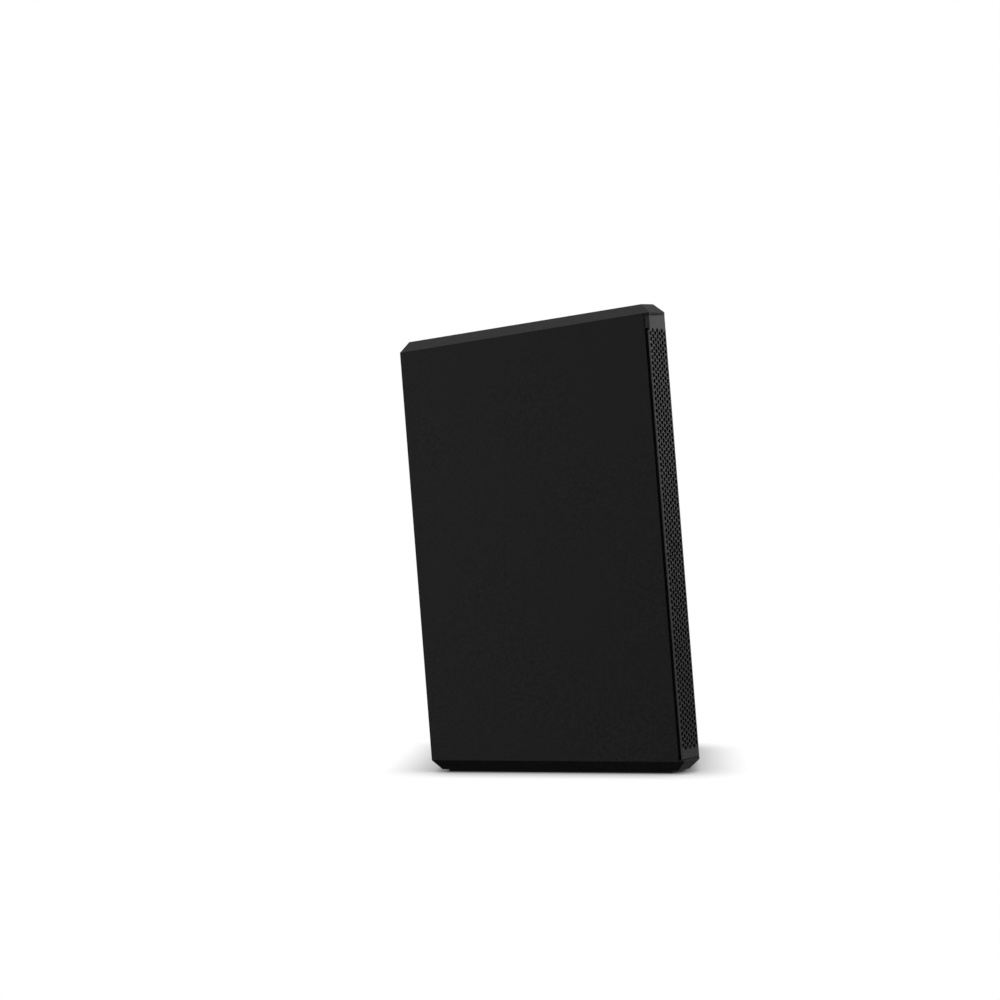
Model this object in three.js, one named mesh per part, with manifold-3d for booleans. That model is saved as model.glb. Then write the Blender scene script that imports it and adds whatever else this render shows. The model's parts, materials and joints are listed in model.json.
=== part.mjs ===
// A compact powered loudspeaker: a leaning, tapered cabinet with a folded perforated grille, an
// eight-inch woofer, a horn tweeter, and a recessed electronics panel in its back.
// Millimetres, +Z up. The grille faces -Y. The origin is on the floor, under the middle of the box.
import * as THREE from 'three';
import { mergeVertices } from 'three/addons/utils/BufferGeometryUtils.js';
import Module from 'manifold-3d';

const wasm = await Module();
wasm.setup();

// ---- driving dimensions -------------------------------------------------------------------
// The cabinet's section is a symmetric trapezoid: the front edge is the long one, and the top and
// the bottom close in by TAPER each. It stands on its tapered bottom, so the front leans back.
const TAPER = THREE.MathUtils.degToRad(4.5);
const FRONT_HEIGHT = 377;      // front edge, between the lower lines of the two chamfers
const SLOPE_LENGTH = 212;      // top and bottom edge, front corner to back
const WIDTH = 260;
const CHAMFER = 8.4;           // round the top and the bottom, both ways
const SIDE_BOARD = 15;         // board thickness
const PLUG_DEPTH = 6.6;        // how far the top and bottom boards reach between the sides
const SIDE_SETBACK = 4.6;      // the side boards stop this far behind the caps' front corners
const GAP = 0.3;               // glue and fitting gap

const FACET_ANGLE = THREE.MathUtils.degToRad(25);
const FACET_DEPTH = 12.8;      // how far the flat middle of the front stands out
const GRILLE_ANGLE = THREE.MathUtils.degToRad(25.5);
const GRILLE_EDGE_Y = 1.3;     // the grille's side edges lie this far behind the caps' corners
const GRILLE_FRONT_Y = -12.7;  // and its middle is all but level with the caps' front
const GRILLE_SHEET = 1.5;
const GRILLE_END_GAP = 1.9;    // between the grille's ends and the caps
const GRILLE_TAB_HEIGHT = 9.8;
const GRILLE_FLANGE = 11;      // folded back along both ends, over the magnets
const GRILLE_BLANK = FRONT_HEIGHT + 40;            // sheet and foam, before they are trimmed
const BLANK_START = -20;
const FOAM_THICKNESS = 3;

const SKID_HEIGHT = 1.9;
const SKID_WIDTH = 22;
const SKID_START = 10;
const SKID_END = 198;
const SKID_INSET = 13;         // from the cabinet's side to the skid

const BAFFLE_FRONT = 18;       // distance from the front corner line to the baffle's front face
const BAFFLE_BOARD = 15;
const WOOFER_Z = 126;
const WOOFER_FLANGE_RADIUS = 104;
const WOOFER_CUTOUT_RADIUS = 93;
const WOOFER_BOLT_RADIUS = 98.5;
const WOOFER_BOLTS = 4;
const WOOFER_BOLT_HOLE = 2.6;
const HORN_Z = 294;
const HORN_MOUTH = [184, 88];
const HORN_FLANGE = [206, 112];
const HORN_DEPTH = 78;
const THROAT_RADIUS = 12.5;
const PORT_X = 96;
const PORT_Z = 32;
const PORT_BORE = 14;

const BACK_FACE = SLOPE_LENGTH * Math.cos(TAPER);
const RECESS = { halfWidth: 80, bottom: 60, top: 230 };
const PANEL_SHEET = 2;
const PANEL_BACK = BACK_FACE - SIDE_BOARD;         // inner face of the back board
const PANEL_FACE = PANEL_BACK + PANEL_SHEET;       // outer face of the electronics panel
const LOWER_ROW_Z = 92;
const CONTROL_ROW_Z = 142;
const ROCKER_REST_TILT = THREE.MathUtils.degToRad(10);

// ---- finishes -----------------------------------------------------------------------------
function finish(color, roughness, metalness = 0) {
  return new THREE.MeshStandardMaterial({ color, roughness, metalness });
}

const FINISH = {
  paint: () => finish(0x1b1b1c, 0.82),
  board: () => finish(0x8a6a48, 0.85),
  grille: () => finish(0x232324, 0.6, 0.35),
  steel: () => finish(0x8d9093, 0.42, 0.9),
  blackSteel: () => finish(0x1e1f20, 0.5, 0.6),
  magnet: () => finish(0x2b2c2e, 0.6, 0.3),
  foam: () => finish(0x111112, 0.97),
  rubber: () => finish(0x141415, 0.9),
  paper: () => finish(0x1c1c1d, 0.88),
  cloth: () => finish(0x8c6a34, 0.9),
  plastic: () => finish(0x18181a, 0.55),
  titanium: () => finish(0xb4b6b9, 0.35, 0.9),
  wadding: () => finish(0x9a9a98, 0.98),
  circuitBoard: () => finish(0x1d4a2c, 0.55),
  aluminium: () => finish(0x2a2b2d, 0.45, 0.8),
  lens: () => finish(0x9fd6a8, 0.2),
};

// ---- geometry helpers ---------------------------------------------------------------------
function signedVolume(geometry) {
  const position = geometry.attributes.position;
  const index = geometry.index.array;
  const corner = [new THREE.Vector3(), new THREE.Vector3(), new THREE.Vector3()];
  let volume = 0;
  for (let i = 0; i < index.length; i += 3) {
    corner.forEach((vertex, k) => vertex.fromBufferAttribute(position, index[i + k]));
    volume += corner[0].dot(corner[1].cross(corner[2])) / 6;
  }
  return volume;
}

// Share the corners between faces, drop faces of no area, and turn every face outwards.
function welded(source) {
  const bare = source.clone();
  bare.deleteAttribute('normal');
  bare.deleteAttribute('uv');
  const geometry = mergeVertices(bare, 1e-4);
  const kept = [];
  const index = geometry.index.array;
  for (let i = 0; i < index.length; i += 3) {
    const [a, b, c] = [index[i], index[i + 1], index[i + 2]];
    if (a !== b && b !== c && c !== a) kept.push(a, b, c);
  }
  geometry.setIndex(kept);
  if (signedVolume(geometry) < 0) {
    for (let i = 0; i < kept.length; i += 3) [kept[i], kept[i + 1]] = [kept[i + 1], kept[i]];
    geometry.setIndex(kept);
  }
  return geometry;
}

function toSolid(source) {
  const geometry = welded(source);
  return new wasm.Manifold(new wasm.Mesh({
    numProp: 3,
    vertProperties: Float32Array.from(geometry.attributes.position.array),
    triVerts: Uint32Array.from(geometry.index.array),
  }));
}

function toGeometry(solid) {
  const mesh = solid.getMesh();
  const geometry = new THREE.BufferGeometry();
  geometry.setAttribute('position', new THREE.BufferAttribute(mesh.vertProperties, 3));
  geometry.setIndex(Array.from(mesh.triVerts));
  return geometry;
}

function joined(first, ...others) {
  return toGeometry(others.reduce((sum, other) => sum.add(toSolid(other)), toSolid(first)));
}

function cut(first, ...tools) {
  return toGeometry(tools.reduce((rest, tool) => rest.subtract(toSolid(tool)), toSolid(first)));
}

function polygon(points) {
  return new THREE.Shape(points.map(([x, y]) => new THREE.Vector2(x, y)));
}

function circlePoints(x, y, radius, sides) {
  return Array.from({ length: sides }, (_, i) => {
    const angle = (2 * Math.PI * i) / sides;
    return [x + radius * Math.cos(angle), y + radius * Math.sin(angle)];
  });
}

function rectanglePoints(x, y, width, height) {
  const [w, h] = [width / 2, height / 2];
  return [[x - w, y - h], [x + w, y - h], [x + w, y + h], [x - w, y + h]];
}

function roundedRectanglePoints(x, y, width, height, radius, cornerSteps = 3) {
  const points = [];
  const centres = [[1, 1], [-1, 1], [-1, -1], [1, -1]];
  centres.forEach(([sx, sy], corner) => {
    for (let i = 0; i <= cornerSteps; i += 1) {
      const angle = (Math.PI / 2) * (corner + i / cornerSteps);
      points.push([
        x + sx * (width / 2 - radius) + radius * Math.cos(angle),
        y + sy * (height / 2 - radius) + radius * Math.sin(angle),
      ]);
    }
  });
  return points;
}

function extruded(shape, depth) {
  return new THREE.ExtrudeGeometry(shape, { depth, bevelEnabled: false, curveSegments: 8 });
}

// A plate in the XZ plane, from yStart towards +Y.
function uprightPlate(shape, yStart, thickness) {
  return extruded(shape, thickness).rotateX(Math.PI / 2).translate(0, yStart + thickness, 0);
}

// The same, with holes right through it.
function drilledPlate(outline, holes, yStart, thickness) {
  const drills = holes.map((points) => uprightPlate(polygon(points), yStart - 1, thickness + 2));
  return cut(uprightPlate(polygon(outline), yStart, thickness), ...drills);
}

// A plate in the YZ plane, from xStart towards +X.
function sidePlate(shape, xStart, thickness) {
  const turn = new THREE.Matrix4().makeBasis(
    new THREE.Vector3(0, 1, 0),
    new THREE.Vector3(0, 0, 1),
    new THREE.Vector3(1, 0, 0),
  );
  return extruded(shape, thickness).applyMatrix4(turn).translate(xStart, 0, 0);
}

function block(xRange, yRange, zRange) {
  const size = [xRange, yRange, zRange].map(([low, high]) => high - low);
  const centre = [xRange, yRange, zRange].map(([low, high]) => (low + high) / 2);
  return new THREE.BoxGeometry(...size).translate(...centre);
}

// Turned about Y from a list of [radius, y]; a ring's list closes on itself.
function turned(profile, sides = 32) {
  const points = profile.map(([radius, y]) => new THREE.Vector2(radius, y));
  if (profile[0][0] > 0) points.push(points[0].clone());
  return new THREE.LatheGeometry(points, sides);
}

function tube(inner, outer, yStart, yEnd, sides = 32) {
  return turned([[inner, yStart], [outer, yStart], [outer, yEnd], [inner, yEnd]], sides);
}

// Loops of equal length, joined one after the other; the last joins the first in a ring of loops.
function lofted(loops, closedRing) {
  const count = loops[0].length;
  const vertices = loops.flat(2);
  const faces = [];
  const lastLoop = closedRing ? loops.length : loops.length - 1;
  for (let a = 0; a < lastLoop; a += 1) {
    const b = (a + 1) % loops.length;
    for (let i = 0; i < count; i += 1) {
      const j = (i + 1) % count;
      faces.push(a * count + i, a * count + j, b * count + j);
      faces.push(a * count + i, b * count + j, b * count + i);
    }
  }
  if (!closedRing) {
    const flat = loops[0].map(([x, y]) => new THREE.Vector2(x, y));
    const last = (loops.length - 1) * count;
    THREE.ShapeUtils.triangulateShape(flat, []).forEach(([a, b, c]) => {
      faces.push(a, c, b);
      faces.push(last + a, last + b, last + c);
    });
  }
  const geometry = new THREE.BufferGeometry();
  geometry.setAttribute('position', new THREE.Float32BufferAttribute(vertices, 3));
  geometry.setIndex(faces);
  return geometry;
}

// A convex outline moved inwards by the same distance all round; its points run anticlockwise.
function insetOutline(outline, distance) {
  return outline.map((point, i) => {
    const before = outline[(i + outline.length - 1) % outline.length];
    const after = outline[(i + 1) % outline.length];
    return mitred(before, point, after, distance);
  });
}

// The corner between two straight runs, once both have moved to their left by distance.
function mitred(before, point, after, distance) {
  const incoming = new THREE.Vector2(point[0] - before[0], point[1] - before[1]).normalize();
  const outgoing = new THREE.Vector2(after[0] - point[0], after[1] - point[1]).normalize();
  const left = new THREE.Vector2(-incoming.y - outgoing.y, incoming.x + outgoing.x);
  const stretch = distance / (1 + incoming.dot(outgoing));
  return [point[0] + left.x * stretch, point[1] + left.y * stretch];
}

// An open run of points, thickened to its left.
function ribbon(points, thickness) {
  const inner = points.map((point, i) => {
    const next = points[i + 1];
    const previous = points[i - 1];
    const before = previous || [2 * point[0] - next[0], 2 * point[1] - next[1]];
    const after = next || [2 * point[0] - previous[0], 2 * point[1] - previous[1]];
    return mitred(before, point, after, thickness);
  });
  return polygon([...points, ...inner.reverse()]);
}

// ---- the scene graph ----------------------------------------------------------------------
const group = new THREE.Group();
const cabinet = new THREE.Group();           // upright frame: Y = 0 on the caps' front corners
cabinet.rotation.x = -TAPER;
group.add(cabinet);

function addPiece(name, geometry, material, parent = cabinet) {
  const mesh = new THREE.Mesh(welded(geometry), material);
  mesh.name = name;
  parent.add(mesh);
  return mesh;
}

function subFrame(x, y, z, tilt = 0) {
  const frame = new THREE.Group();
  frame.position.set(x, y, z);
  frame.rotation.x = tilt;
  cabinet.add(frame);
  return frame;
}

const topLine = (y) => FRONT_HEIGHT - y * Math.tan(TAPER);
const bottomLine = (y) => y * Math.tan(TAPER);

// ---- cabinet boards -----------------------------------------------------------------------
const facetReach = FACET_DEPTH / Math.tan(FACET_ANGLE);
const capOutline = [
  [-WIDTH / 2, SLOPE_LENGTH],
  [-WIDTH / 2, 0],
  [-WIDTH / 2 + facetReach, -FACET_DEPTH],
  [WIDTH / 2 - facetReach, -FACET_DEPTH],
  [WIDTH / 2, 0],
  [WIDTH / 2, SLOPE_LENGTH],
];

// side = 1 for the top, -1 for the bottom. The board's full outline carries the chamfer, and a
// plug behind it fits between the side boards and the back board.
function capBoard(side) {
  const raise = (outline, height) => outline.map(([x, y]) => [x, y, side * height]);
  const bevelled = lofted([raise(capOutline, 0), raise(insetOutline(capOutline, CHAMFER), CHAMFER)], false);
  const halfWidth = WIDTH / 2 - SIDE_BOARD - GAP;
  const heights = [-PLUG_DEPTH * side, (CHAMFER / 2) * side].sort((a, b) => a - b);
  const back = SLOPE_LENGTH - SIDE_BOARD - 1;
  return joined(bevelled, block([-halfWidth, halfWidth], [SIDE_SETBACK + 2, back], heights));
}

const topFrame = subFrame(0, 0, FRONT_HEIGHT, -TAPER);
const bottomFrame = subFrame(0, 0, 0, TAPER);
addPiece('top_panel', capBoard(1), FINISH.paint(), topFrame);
addPiece('bottom_panel', capBoard(-1), FINISH.paint(), bottomFrame);

const sideOutline = polygon([
  [SIDE_SETBACK, bottomLine(SIDE_SETBACK) + GAP],
  [BACK_FACE, bottomLine(BACK_FACE) + GAP],
  [BACK_FACE, topLine(BACK_FACE) - GAP],
  [SIDE_SETBACK, topLine(SIDE_SETBACK) - GAP],
]);
addPiece('side_panel_left', sidePlate(sideOutline, -WIDTH / 2, SIDE_BOARD), FINISH.paint());
addPiece('side_panel_right', sidePlate(sideOutline, WIDTH / 2 - SIDE_BOARD, SIDE_BOARD), FINISH.paint());

const innerHalfWidth = WIDTH / 2 - SIDE_BOARD - GAP;
const recessOutline = rectanglePoints(
  0,
  (RECESS.bottom + RECESS.top) / 2,
  2 * RECESS.halfWidth,
  RECESS.top - RECESS.bottom,
);
const backOutline = [
  [-innerHalfWidth, bottomLine(BACK_FACE) + GAP],
  [innerHalfWidth, bottomLine(BACK_FACE) + GAP],
  [innerHalfWidth, topLine(BACK_FACE) - GAP],
  [-innerHalfWidth, topLine(BACK_FACE) - GAP],
];
const backBoard = drilledPlate(backOutline, [recessOutline], PANEL_BACK, SIDE_BOARD);
addPiece('back_panel', backBoard, FINISH.paint());

const boltAngles = Array.from({ length: WOOFER_BOLTS }, (_, i) => (Math.PI / 4) * (2 * i + 1));
const baffleBack = BAFFLE_FRONT + BAFFLE_BOARD;
const baffleEnd = PLUG_DEPTH / Math.cos(TAPER) + 2 * GAP;
const baffleHoles = [
  circlePoints(0, WOOFER_Z, WOOFER_CUTOUT_RADIUS, 32),
  rectanglePoints(0, HORN_Z, HORN_MOUTH[0] + 8, HORN_MOUTH[1] + 8),
  circlePoints(-PORT_X, PORT_Z, PORT_BORE + 2 + GAP, 16),
  circlePoints(PORT_X, PORT_Z, PORT_BORE + 2 + GAP, 16),
  ...boltAngles.map((angle) => circlePoints(
    WOOFER_BOLT_RADIUS * Math.cos(angle),
    WOOFER_Z + WOOFER_BOLT_RADIUS * Math.sin(angle),
    WOOFER_BOLT_HOLE,
    10,
  )),
];
const baffleOutline = [
  [-innerHalfWidth, bottomLine(baffleBack) + baffleEnd],
  [innerHalfWidth, bottomLine(baffleBack) + baffleEnd],
  [innerHalfWidth, topLine(baffleBack) - baffleEnd],
  [-innerHalfWidth, topLine(baffleBack) - baffleEnd],
];
const baffle = drilledPlate(baffleOutline, baffleHoles, BAFFLE_FRONT, BAFFLE_BOARD);
addPiece('front_baffle', baffle, FINISH.board());

[['left', -1], ['right', 1]].forEach(([label, side]) => {
  const outer = WIDTH / 2 - SKID_INSET;
  const xRange = [side * outer, side * (outer - SKID_WIDTH)].sort((a, b) => a - b);
  const top = -CHAMFER - GAP;
  const skid = block(xRange, [SKID_START, SKID_END], [top - SKID_HEIGHT, top]);
  addPiece(`skid_${label}`, skid, FINISH.rubber(), bottomFrame);
});

// ---- grille -------------------------------------------------------------------------------
const grilleHalfWidth = WIDTH / 2 - GAP;
const grilleFoldX = grilleHalfWidth - (GRILLE_EDGE_Y - GRILLE_FRONT_Y) / Math.tan(GRILLE_ANGLE);
const tabBack = SIDE_SETBACK - 0.8;

function grilleRun(inset, edgeTrim) {
  const run = [
    [-grilleHalfWidth, GRILLE_EDGE_Y],
    [-grilleFoldX, GRILLE_FRONT_Y],
    [grilleFoldX, GRILLE_FRONT_Y],
    [grilleHalfWidth, GRILLE_EDGE_Y],
  ];
  const edgeX = grilleHalfWidth - edgeTrim;
  const edgeY = GRILLE_EDGE_Y - edgeTrim * Math.tan(GRILLE_ANGLE) + inset / Math.cos(GRILLE_ANGLE);
  return [
    [-edgeX, edgeY],
    mitred(run[0], run[1], run[2], inset),
    mitred(run[1], run[2], run[3], inset),
    [edgeX, edgeY],
  ];
}

// Everything between the two caps, trimmed parallel to them.
function trimmedToCaps(geometry, clearance) {
  const keepFront = -2 * FACET_DEPTH;
  const keepBack = 2 * BAFFLE_FRONT;
  const keep = polygon([
    [keepFront, bottomLine(keepFront) + clearance],
    [keepBack, bottomLine(keepBack) + clearance],
    [keepBack, topLine(keepBack) - clearance],
    [keepFront, topLine(keepFront) - clearance],
  ]);
  return toGeometry(toSolid(geometry).intersect(toSolid(sidePlate(keep, -WIDTH, 2 * WIDTH))));
}

function grilleTab(side) {
  const x = side * grilleHalfWidth;
  const plan = polygon([
    [x, GRILLE_EDGE_Y],
    [x, tabBack],
    [x - side * GRILLE_SHEET, tabBack],
    [x - side * GRILLE_SHEET, GRILLE_EDGE_Y - 0.2],
  ]);
  const top = topLine(0);
  const height = GRILLE_TAB_HEIGHT + GRILLE_END_GAP;
  return extruded(plan, height).translate(0, 0, top - height);
}

function grilleFlange(end) {
  const line = end > 0 ? topLine : bottomLine;
  const clearance = GRILLE_END_GAP;
  const outer = (y) => line(y) - end * clearance;
  const yStart = GRILLE_FRONT_Y + 0.5;
  const yEnd = GRILLE_FRONT_Y + GRILLE_FLANGE;
  const section = polygon([
    [yStart, outer(yStart)],
    [yEnd, outer(yEnd)],
    [yEnd, outer(yEnd) - end * GRILLE_SHEET],
    [yStart, outer(yStart) - end * GRILLE_SHEET],
  ]);
  return sidePlate(section, -grilleFoldX, 2 * grilleFoldX);
}

function blank(run, thickness) {
  return extruded(ribbon(run, thickness), GRILLE_BLANK).translate(0, 0, BLANK_START);
}
const grilleSheets = [blank(grilleRun(0, 0), GRILLE_SHEET), grilleTab(-1), grilleTab(1)]
  .map((sheet) => trimmedToCaps(sheet, GRILLE_END_GAP));
addPiece('grille', joined(...grilleSheets, grilleFlange(1), grilleFlange(-1)), FINISH.grille());

const FOAM_MARGIN = 4;
const foamSheet = blank(grilleRun(GRILLE_SHEET + GAP, FOAM_MARGIN), FOAM_THICKNESS);
addPiece('grille_foam', trimmedToCaps(foamSheet, GRILLE_END_GAP + GRILLE_SHEET + 1), FINISH.foam());

// An angle bracket on the baffle carries a bar magnet that holds the grille's folded end.
const MAGNET_BAR = { length: 150, depth: 8, height: 3, clearance: 1.2 };
const BRACKET = { sheet: 1.8, overhang: 5, leg: 10 };
[['top', 1], ['bottom', -1]].forEach(([label, end]) => {
  const line = end > 0 ? topLine : bottomLine;
  const magnetFront = GRILLE_FRONT_Y + GRILLE_SHEET + FOAM_THICKNESS + 2;
  const magnetBack = magnetFront + MAGNET_BAR.depth;
  const clearance = GRILLE_END_GAP + GRILLE_SHEET + MAGNET_BAR.clearance;
  const underFlange = line(magnetBack) - end * clearance;
  const band = (depth, thickness) => {
    const start = underFlange - end * depth;
    return [start, start - end * thickness].sort((a, b) => a - b);
  };
  const half = MAGNET_BAR.length / 2;
  const magnet = block([-half, half], [magnetFront, magnetBack], band(0, MAGNET_BAR.height));
  addPiece(`grille_magnet_${label}`, magnet, FINISH.magnet());
  const bracketX = [-half - BRACKET.overhang, half + BRACKET.overhang];
  const wall = BAFFLE_FRONT - GAP;
  const shelf = block(bracketX, [magnetFront, wall], band(MAGNET_BAR.height + GAP, BRACKET.sheet));
  const leg = block(bracketX, [wall - BRACKET.sheet, wall], band(MAGNET_BAR.height + GAP, BRACKET.leg));
  addPiece(`grille_bracket_${label}`, joined(shelf, leg), FINISH.blackSteel());
});

// ---- woofer -------------------------------------------------------------------------------
const woofer = subFrame(0, 0, WOOFER_Z);
const FLANGE_FRONT = BAFFLE_FRONT - 5.8;
const FLANGE_BACK = BAFFLE_FRONT - 2.1;
const MAGNET_START = 76;

const basketBody = turned([
  [WOOFER_FLANGE_RADIUS, FLANGE_FRONT],
  [WOOFER_FLANGE_RADIUS, FLANGE_BACK],
  [92, FLANGE_BACK],
  [92, 26],
  [54, 64],
  [54, MAGNET_START],
  [26, MAGNET_START],
  [26, MAGNET_START - 3],
  [50, MAGNET_START - 3],
  [50, 63],
  [87, 25],
  [87, FLANGE_FRONT + 1.4],
  [92, FLANGE_FRONT + 1.4],
  [92, FLANGE_FRONT],
]);
const BASKET_WINDOWS = 6;
const windowTool = () => block([-22, 22], [32, 58], [45, 105]);
const windows = Array.from({ length: BASKET_WINDOWS }, (_, i) => (
  windowTool().rotateY((2 * Math.PI * i) / BASKET_WINDOWS)
));
function boltHole(angle, yStart, yEnd) {
  const x = WOOFER_BOLT_RADIUS * Math.cos(angle);
  const z = WOOFER_BOLT_RADIUS * Math.sin(angle);
  const drill = new THREE.CylinderGeometry(WOOFER_BOLT_HOLE, WOOFER_BOLT_HOLE, yEnd - yStart, 10);
  return drill.translate(x, (yStart + yEnd) / 2, z);
}
const basketHoles = boltAngles.map((angle) => boltHole(angle, FLANGE_FRONT - 2, FLANGE_BACK + 2));
addPiece('woofer_basket', cut(basketBody, ...windows, ...basketHoles), FINISH.blackSteel(), woofer);

const gasketRing = tube(94, 103, FLANGE_BACK + GAP, BAFFLE_FRONT - GAP);
const gasketHoles = boltAngles.map((angle) => boltHole(angle, FLANGE_BACK - 1, BAFFLE_FRONT + 1));
addPiece('woofer_gasket', cut(gasketRing, ...gasketHoles), FINISH.foam(), woofer);

boltAngles.forEach((angle, i) => {
  const screw = turned([
    [0, FLANGE_FRONT - 3.6],
    [3.4, FLANGE_FRONT - 3.6],
    [4.2, FLANGE_FRONT - 2.8],
    [4.2, FLANGE_FRONT - GAP],
    [2, FLANGE_FRONT - GAP],
    [2, BAFFLE_FRONT + 12],
    [0, BAFFLE_FRONT + 13.5],
  ], 12);
  const mesh = addPiece(`woofer_screw_${i + 1}`, screw, FINISH.blackSteel(), woofer);
  mesh.position.set(WOOFER_BOLT_RADIUS * Math.cos(angle), 0, WOOFER_BOLT_RADIUS * Math.sin(angle));
});

// The half-roll bulges towards the grille and carries a flat lip on its outside.
function surroundProfile() {
  const ROLL = { centre: 82.2, radius: 4.6, sheet: 0.9, steps: 5 };
  const seat = FLANGE_FRONT + GAP;
  const arc = (radius) => Array.from({ length: ROLL.steps + 1 }, (_, i) => {
    const angle = (Math.PI * i) / ROLL.steps;
    return [ROLL.centre + radius * Math.cos(angle), seat - radius * Math.sin(angle)];
  });
  const outer = arc(ROLL.radius);
  const inner = arc(ROLL.radius - ROLL.sheet).reverse();
  return [[91.6, seat], ...outer, ...inner, [91.6, seat + 0.3]];
}
addPiece('woofer_surround', turned(surroundProfile()), FINISH.rubber(), woofer);

const CONE_RIM = 77;
const COIL_RADIUS = 19;
addPiece('woofer_cone', turned([
  [CONE_RIM, 12.2],
  [CONE_RIM, 13.2],
  [52, 28.2],
  [30, 42.2],
  [COIL_RADIUS + 1.3, 51.2],
  [COIL_RADIUS + 1.3, 50],
  [30, 41],
  [52, 27],
]), FINISH.paper(), woofer);
addPiece('dust_cap', turned([
  [0, 26],
  [10, 26.8],
  [20, 29.8],
  [29, 36],
  [30, 39.6],
  [28.4, 38.4],
  [19.6, 30.9],
  [9.8, 27.9],
  [0, 27],
], 24), FINISH.paper(), woofer);
addPiece('voice_coil', turned([
  [COIL_RADIUS, 44],
  [COIL_RADIUS + 1, 44],
  [COIL_RADIUS + 1, MAGNET_START - 2],
  [COIL_RADIUS + 1.8, MAGNET_START - 2],
  [COIL_RADIUS + 1.8, MAGNET_START + 9],
  [COIL_RADIUS, MAGNET_START + 9],
], 32), FINISH.titanium(), woofer);

function spiderProfile() {
  const WAVE = {
    inner: COIL_RADIUS + 1.6,
    outer: 49.4,
    height: 1.6,
    sheet: 0.8,
    steps: 12,
    rolls: 3,
    y: 61.5,
  };
  const wave = Array.from({ length: WAVE.steps + 1 }, (_, i) => {
    const along = i / WAVE.steps;
    const radius = WAVE.inner + (WAVE.outer - WAVE.inner) * along;
    return [radius, WAVE.y + WAVE.height * Math.sin(2 * Math.PI * WAVE.rolls * along)];
  });
  return [...wave, ...wave.map(([r, y]) => [r, y + WAVE.sheet]).reverse()];
}
addPiece('spider', turned(spiderProfile(), 24), FINISH.cloth(), woofer);

const TOP_PLATE = 6;
const FERRITE = 16;
const plateEnd = MAGNET_START + GAP + TOP_PLATE;
const ferriteEnd = plateEnd + GAP + FERRITE;
addPiece('woofer_top_plate', tube(COIL_RADIUS + 3, 56, MAGNET_START + GAP, plateEnd), FINISH.steel(), woofer);
addPiece('woofer_magnet', tube(28, 62, plateEnd + GAP, ferriteEnd), FINISH.magnet(), woofer);
addPiece('woofer_yoke', turned([
  [0, MAGNET_START],
  [COIL_RADIUS - 1, MAGNET_START],
  [COIL_RADIUS - 1, ferriteEnd + GAP],
  [56, ferriteEnd + GAP],
  [58, ferriteEnd + GAP + 2],
  [58, ferriteEnd + GAP + 6],
  [0, ferriteEnd + GAP + 6],
], 32), FINISH.steel(), woofer);

// ---- horn and compression driver ----------------------------------------------------------
const horn = subFrame(0, 0, HORN_Z);
const HORN_FRONT = BAFFLE_FRONT - GAP - 4;

// A superellipse that runs from the rectangular mouth to the round throat along an even flare.
function hornLoops(wall) {
  const steps = 6;
  const sides = 28;
  return Array.from({ length: steps + 1 }, (_, i) => {
    const along = i / steps;
    const open = (1 - along) ** 1.7;
    const halfWidth = THROAT_RADIUS + (HORN_MOUTH[0] / 2 - THROAT_RADIUS) * open + wall;
    const halfHeight = THROAT_RADIUS + (HORN_MOUTH[1] / 2 - THROAT_RADIUS) * open + wall;
    const power = 2 / (2 + 4 * (1 - along));
    return Array.from({ length: sides }, (__, k) => {
      const angle = (2 * Math.PI * k) / sides;
      const [c, s] = [Math.cos(angle), Math.sin(angle)];
      return [
        halfWidth * Math.sign(c) * Math.abs(c) ** power,
        HORN_FRONT + HORN_DEPTH * along,
        halfHeight * Math.sign(s) * Math.abs(s) ** power,
      ];
    });
  });
}
const hornBell = lofted([...hornLoops(0), ...hornLoops(3).reverse()], true);
const mouthLoop = hornLoops(0)[0].map(([x, , z]) => [x, z]);
const hornFlangeOutline = roundedRectanglePoints(0, 0, ...HORN_FLANGE, 8);
const hornFlange = drilledPlate(hornFlangeOutline, [insetOutline(mouthLoop, -1)], HORN_FRONT, 4);
addPiece('horn', joined(hornFlange, hornBell), FINISH.plastic(), horn);

const driverStart = HORN_FRONT + HORN_DEPTH + GAP;
addPiece('driver_body', turned([
  [THROAT_RADIUS, driverStart],
  [36, driverStart],
  [43, driverStart + 4],
  [43, driverStart + 24],
  [25, driverStart + 24],
  [25, driverStart + 15],
  [THROAT_RADIUS, driverStart + 10],
]), FINISH.blackSteel(), horn);
addPiece('driver_diaphragm', turned([
  [0, driverStart + 16],
  [10, driverStart + 17.6],
  [17, driverStart + 21],
  [22, driverStart + 21],
  [22, driverStart + 22],
  [16.4, driverStart + 22],
  [9.6, driverStart + 18.6],
  [0, driverStart + 17],
], 24), FINISH.titanium(), horn);
addPiece('driver_rear_cover', turned([
  [0, driverStart + 24 + GAP],
  [38, driverStart + 24 + GAP],
  [38, driverStart + 32],
  [33, driverStart + 37],
  [0, driverStart + 37],
], 28), FINISH.plastic(), horn);

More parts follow.
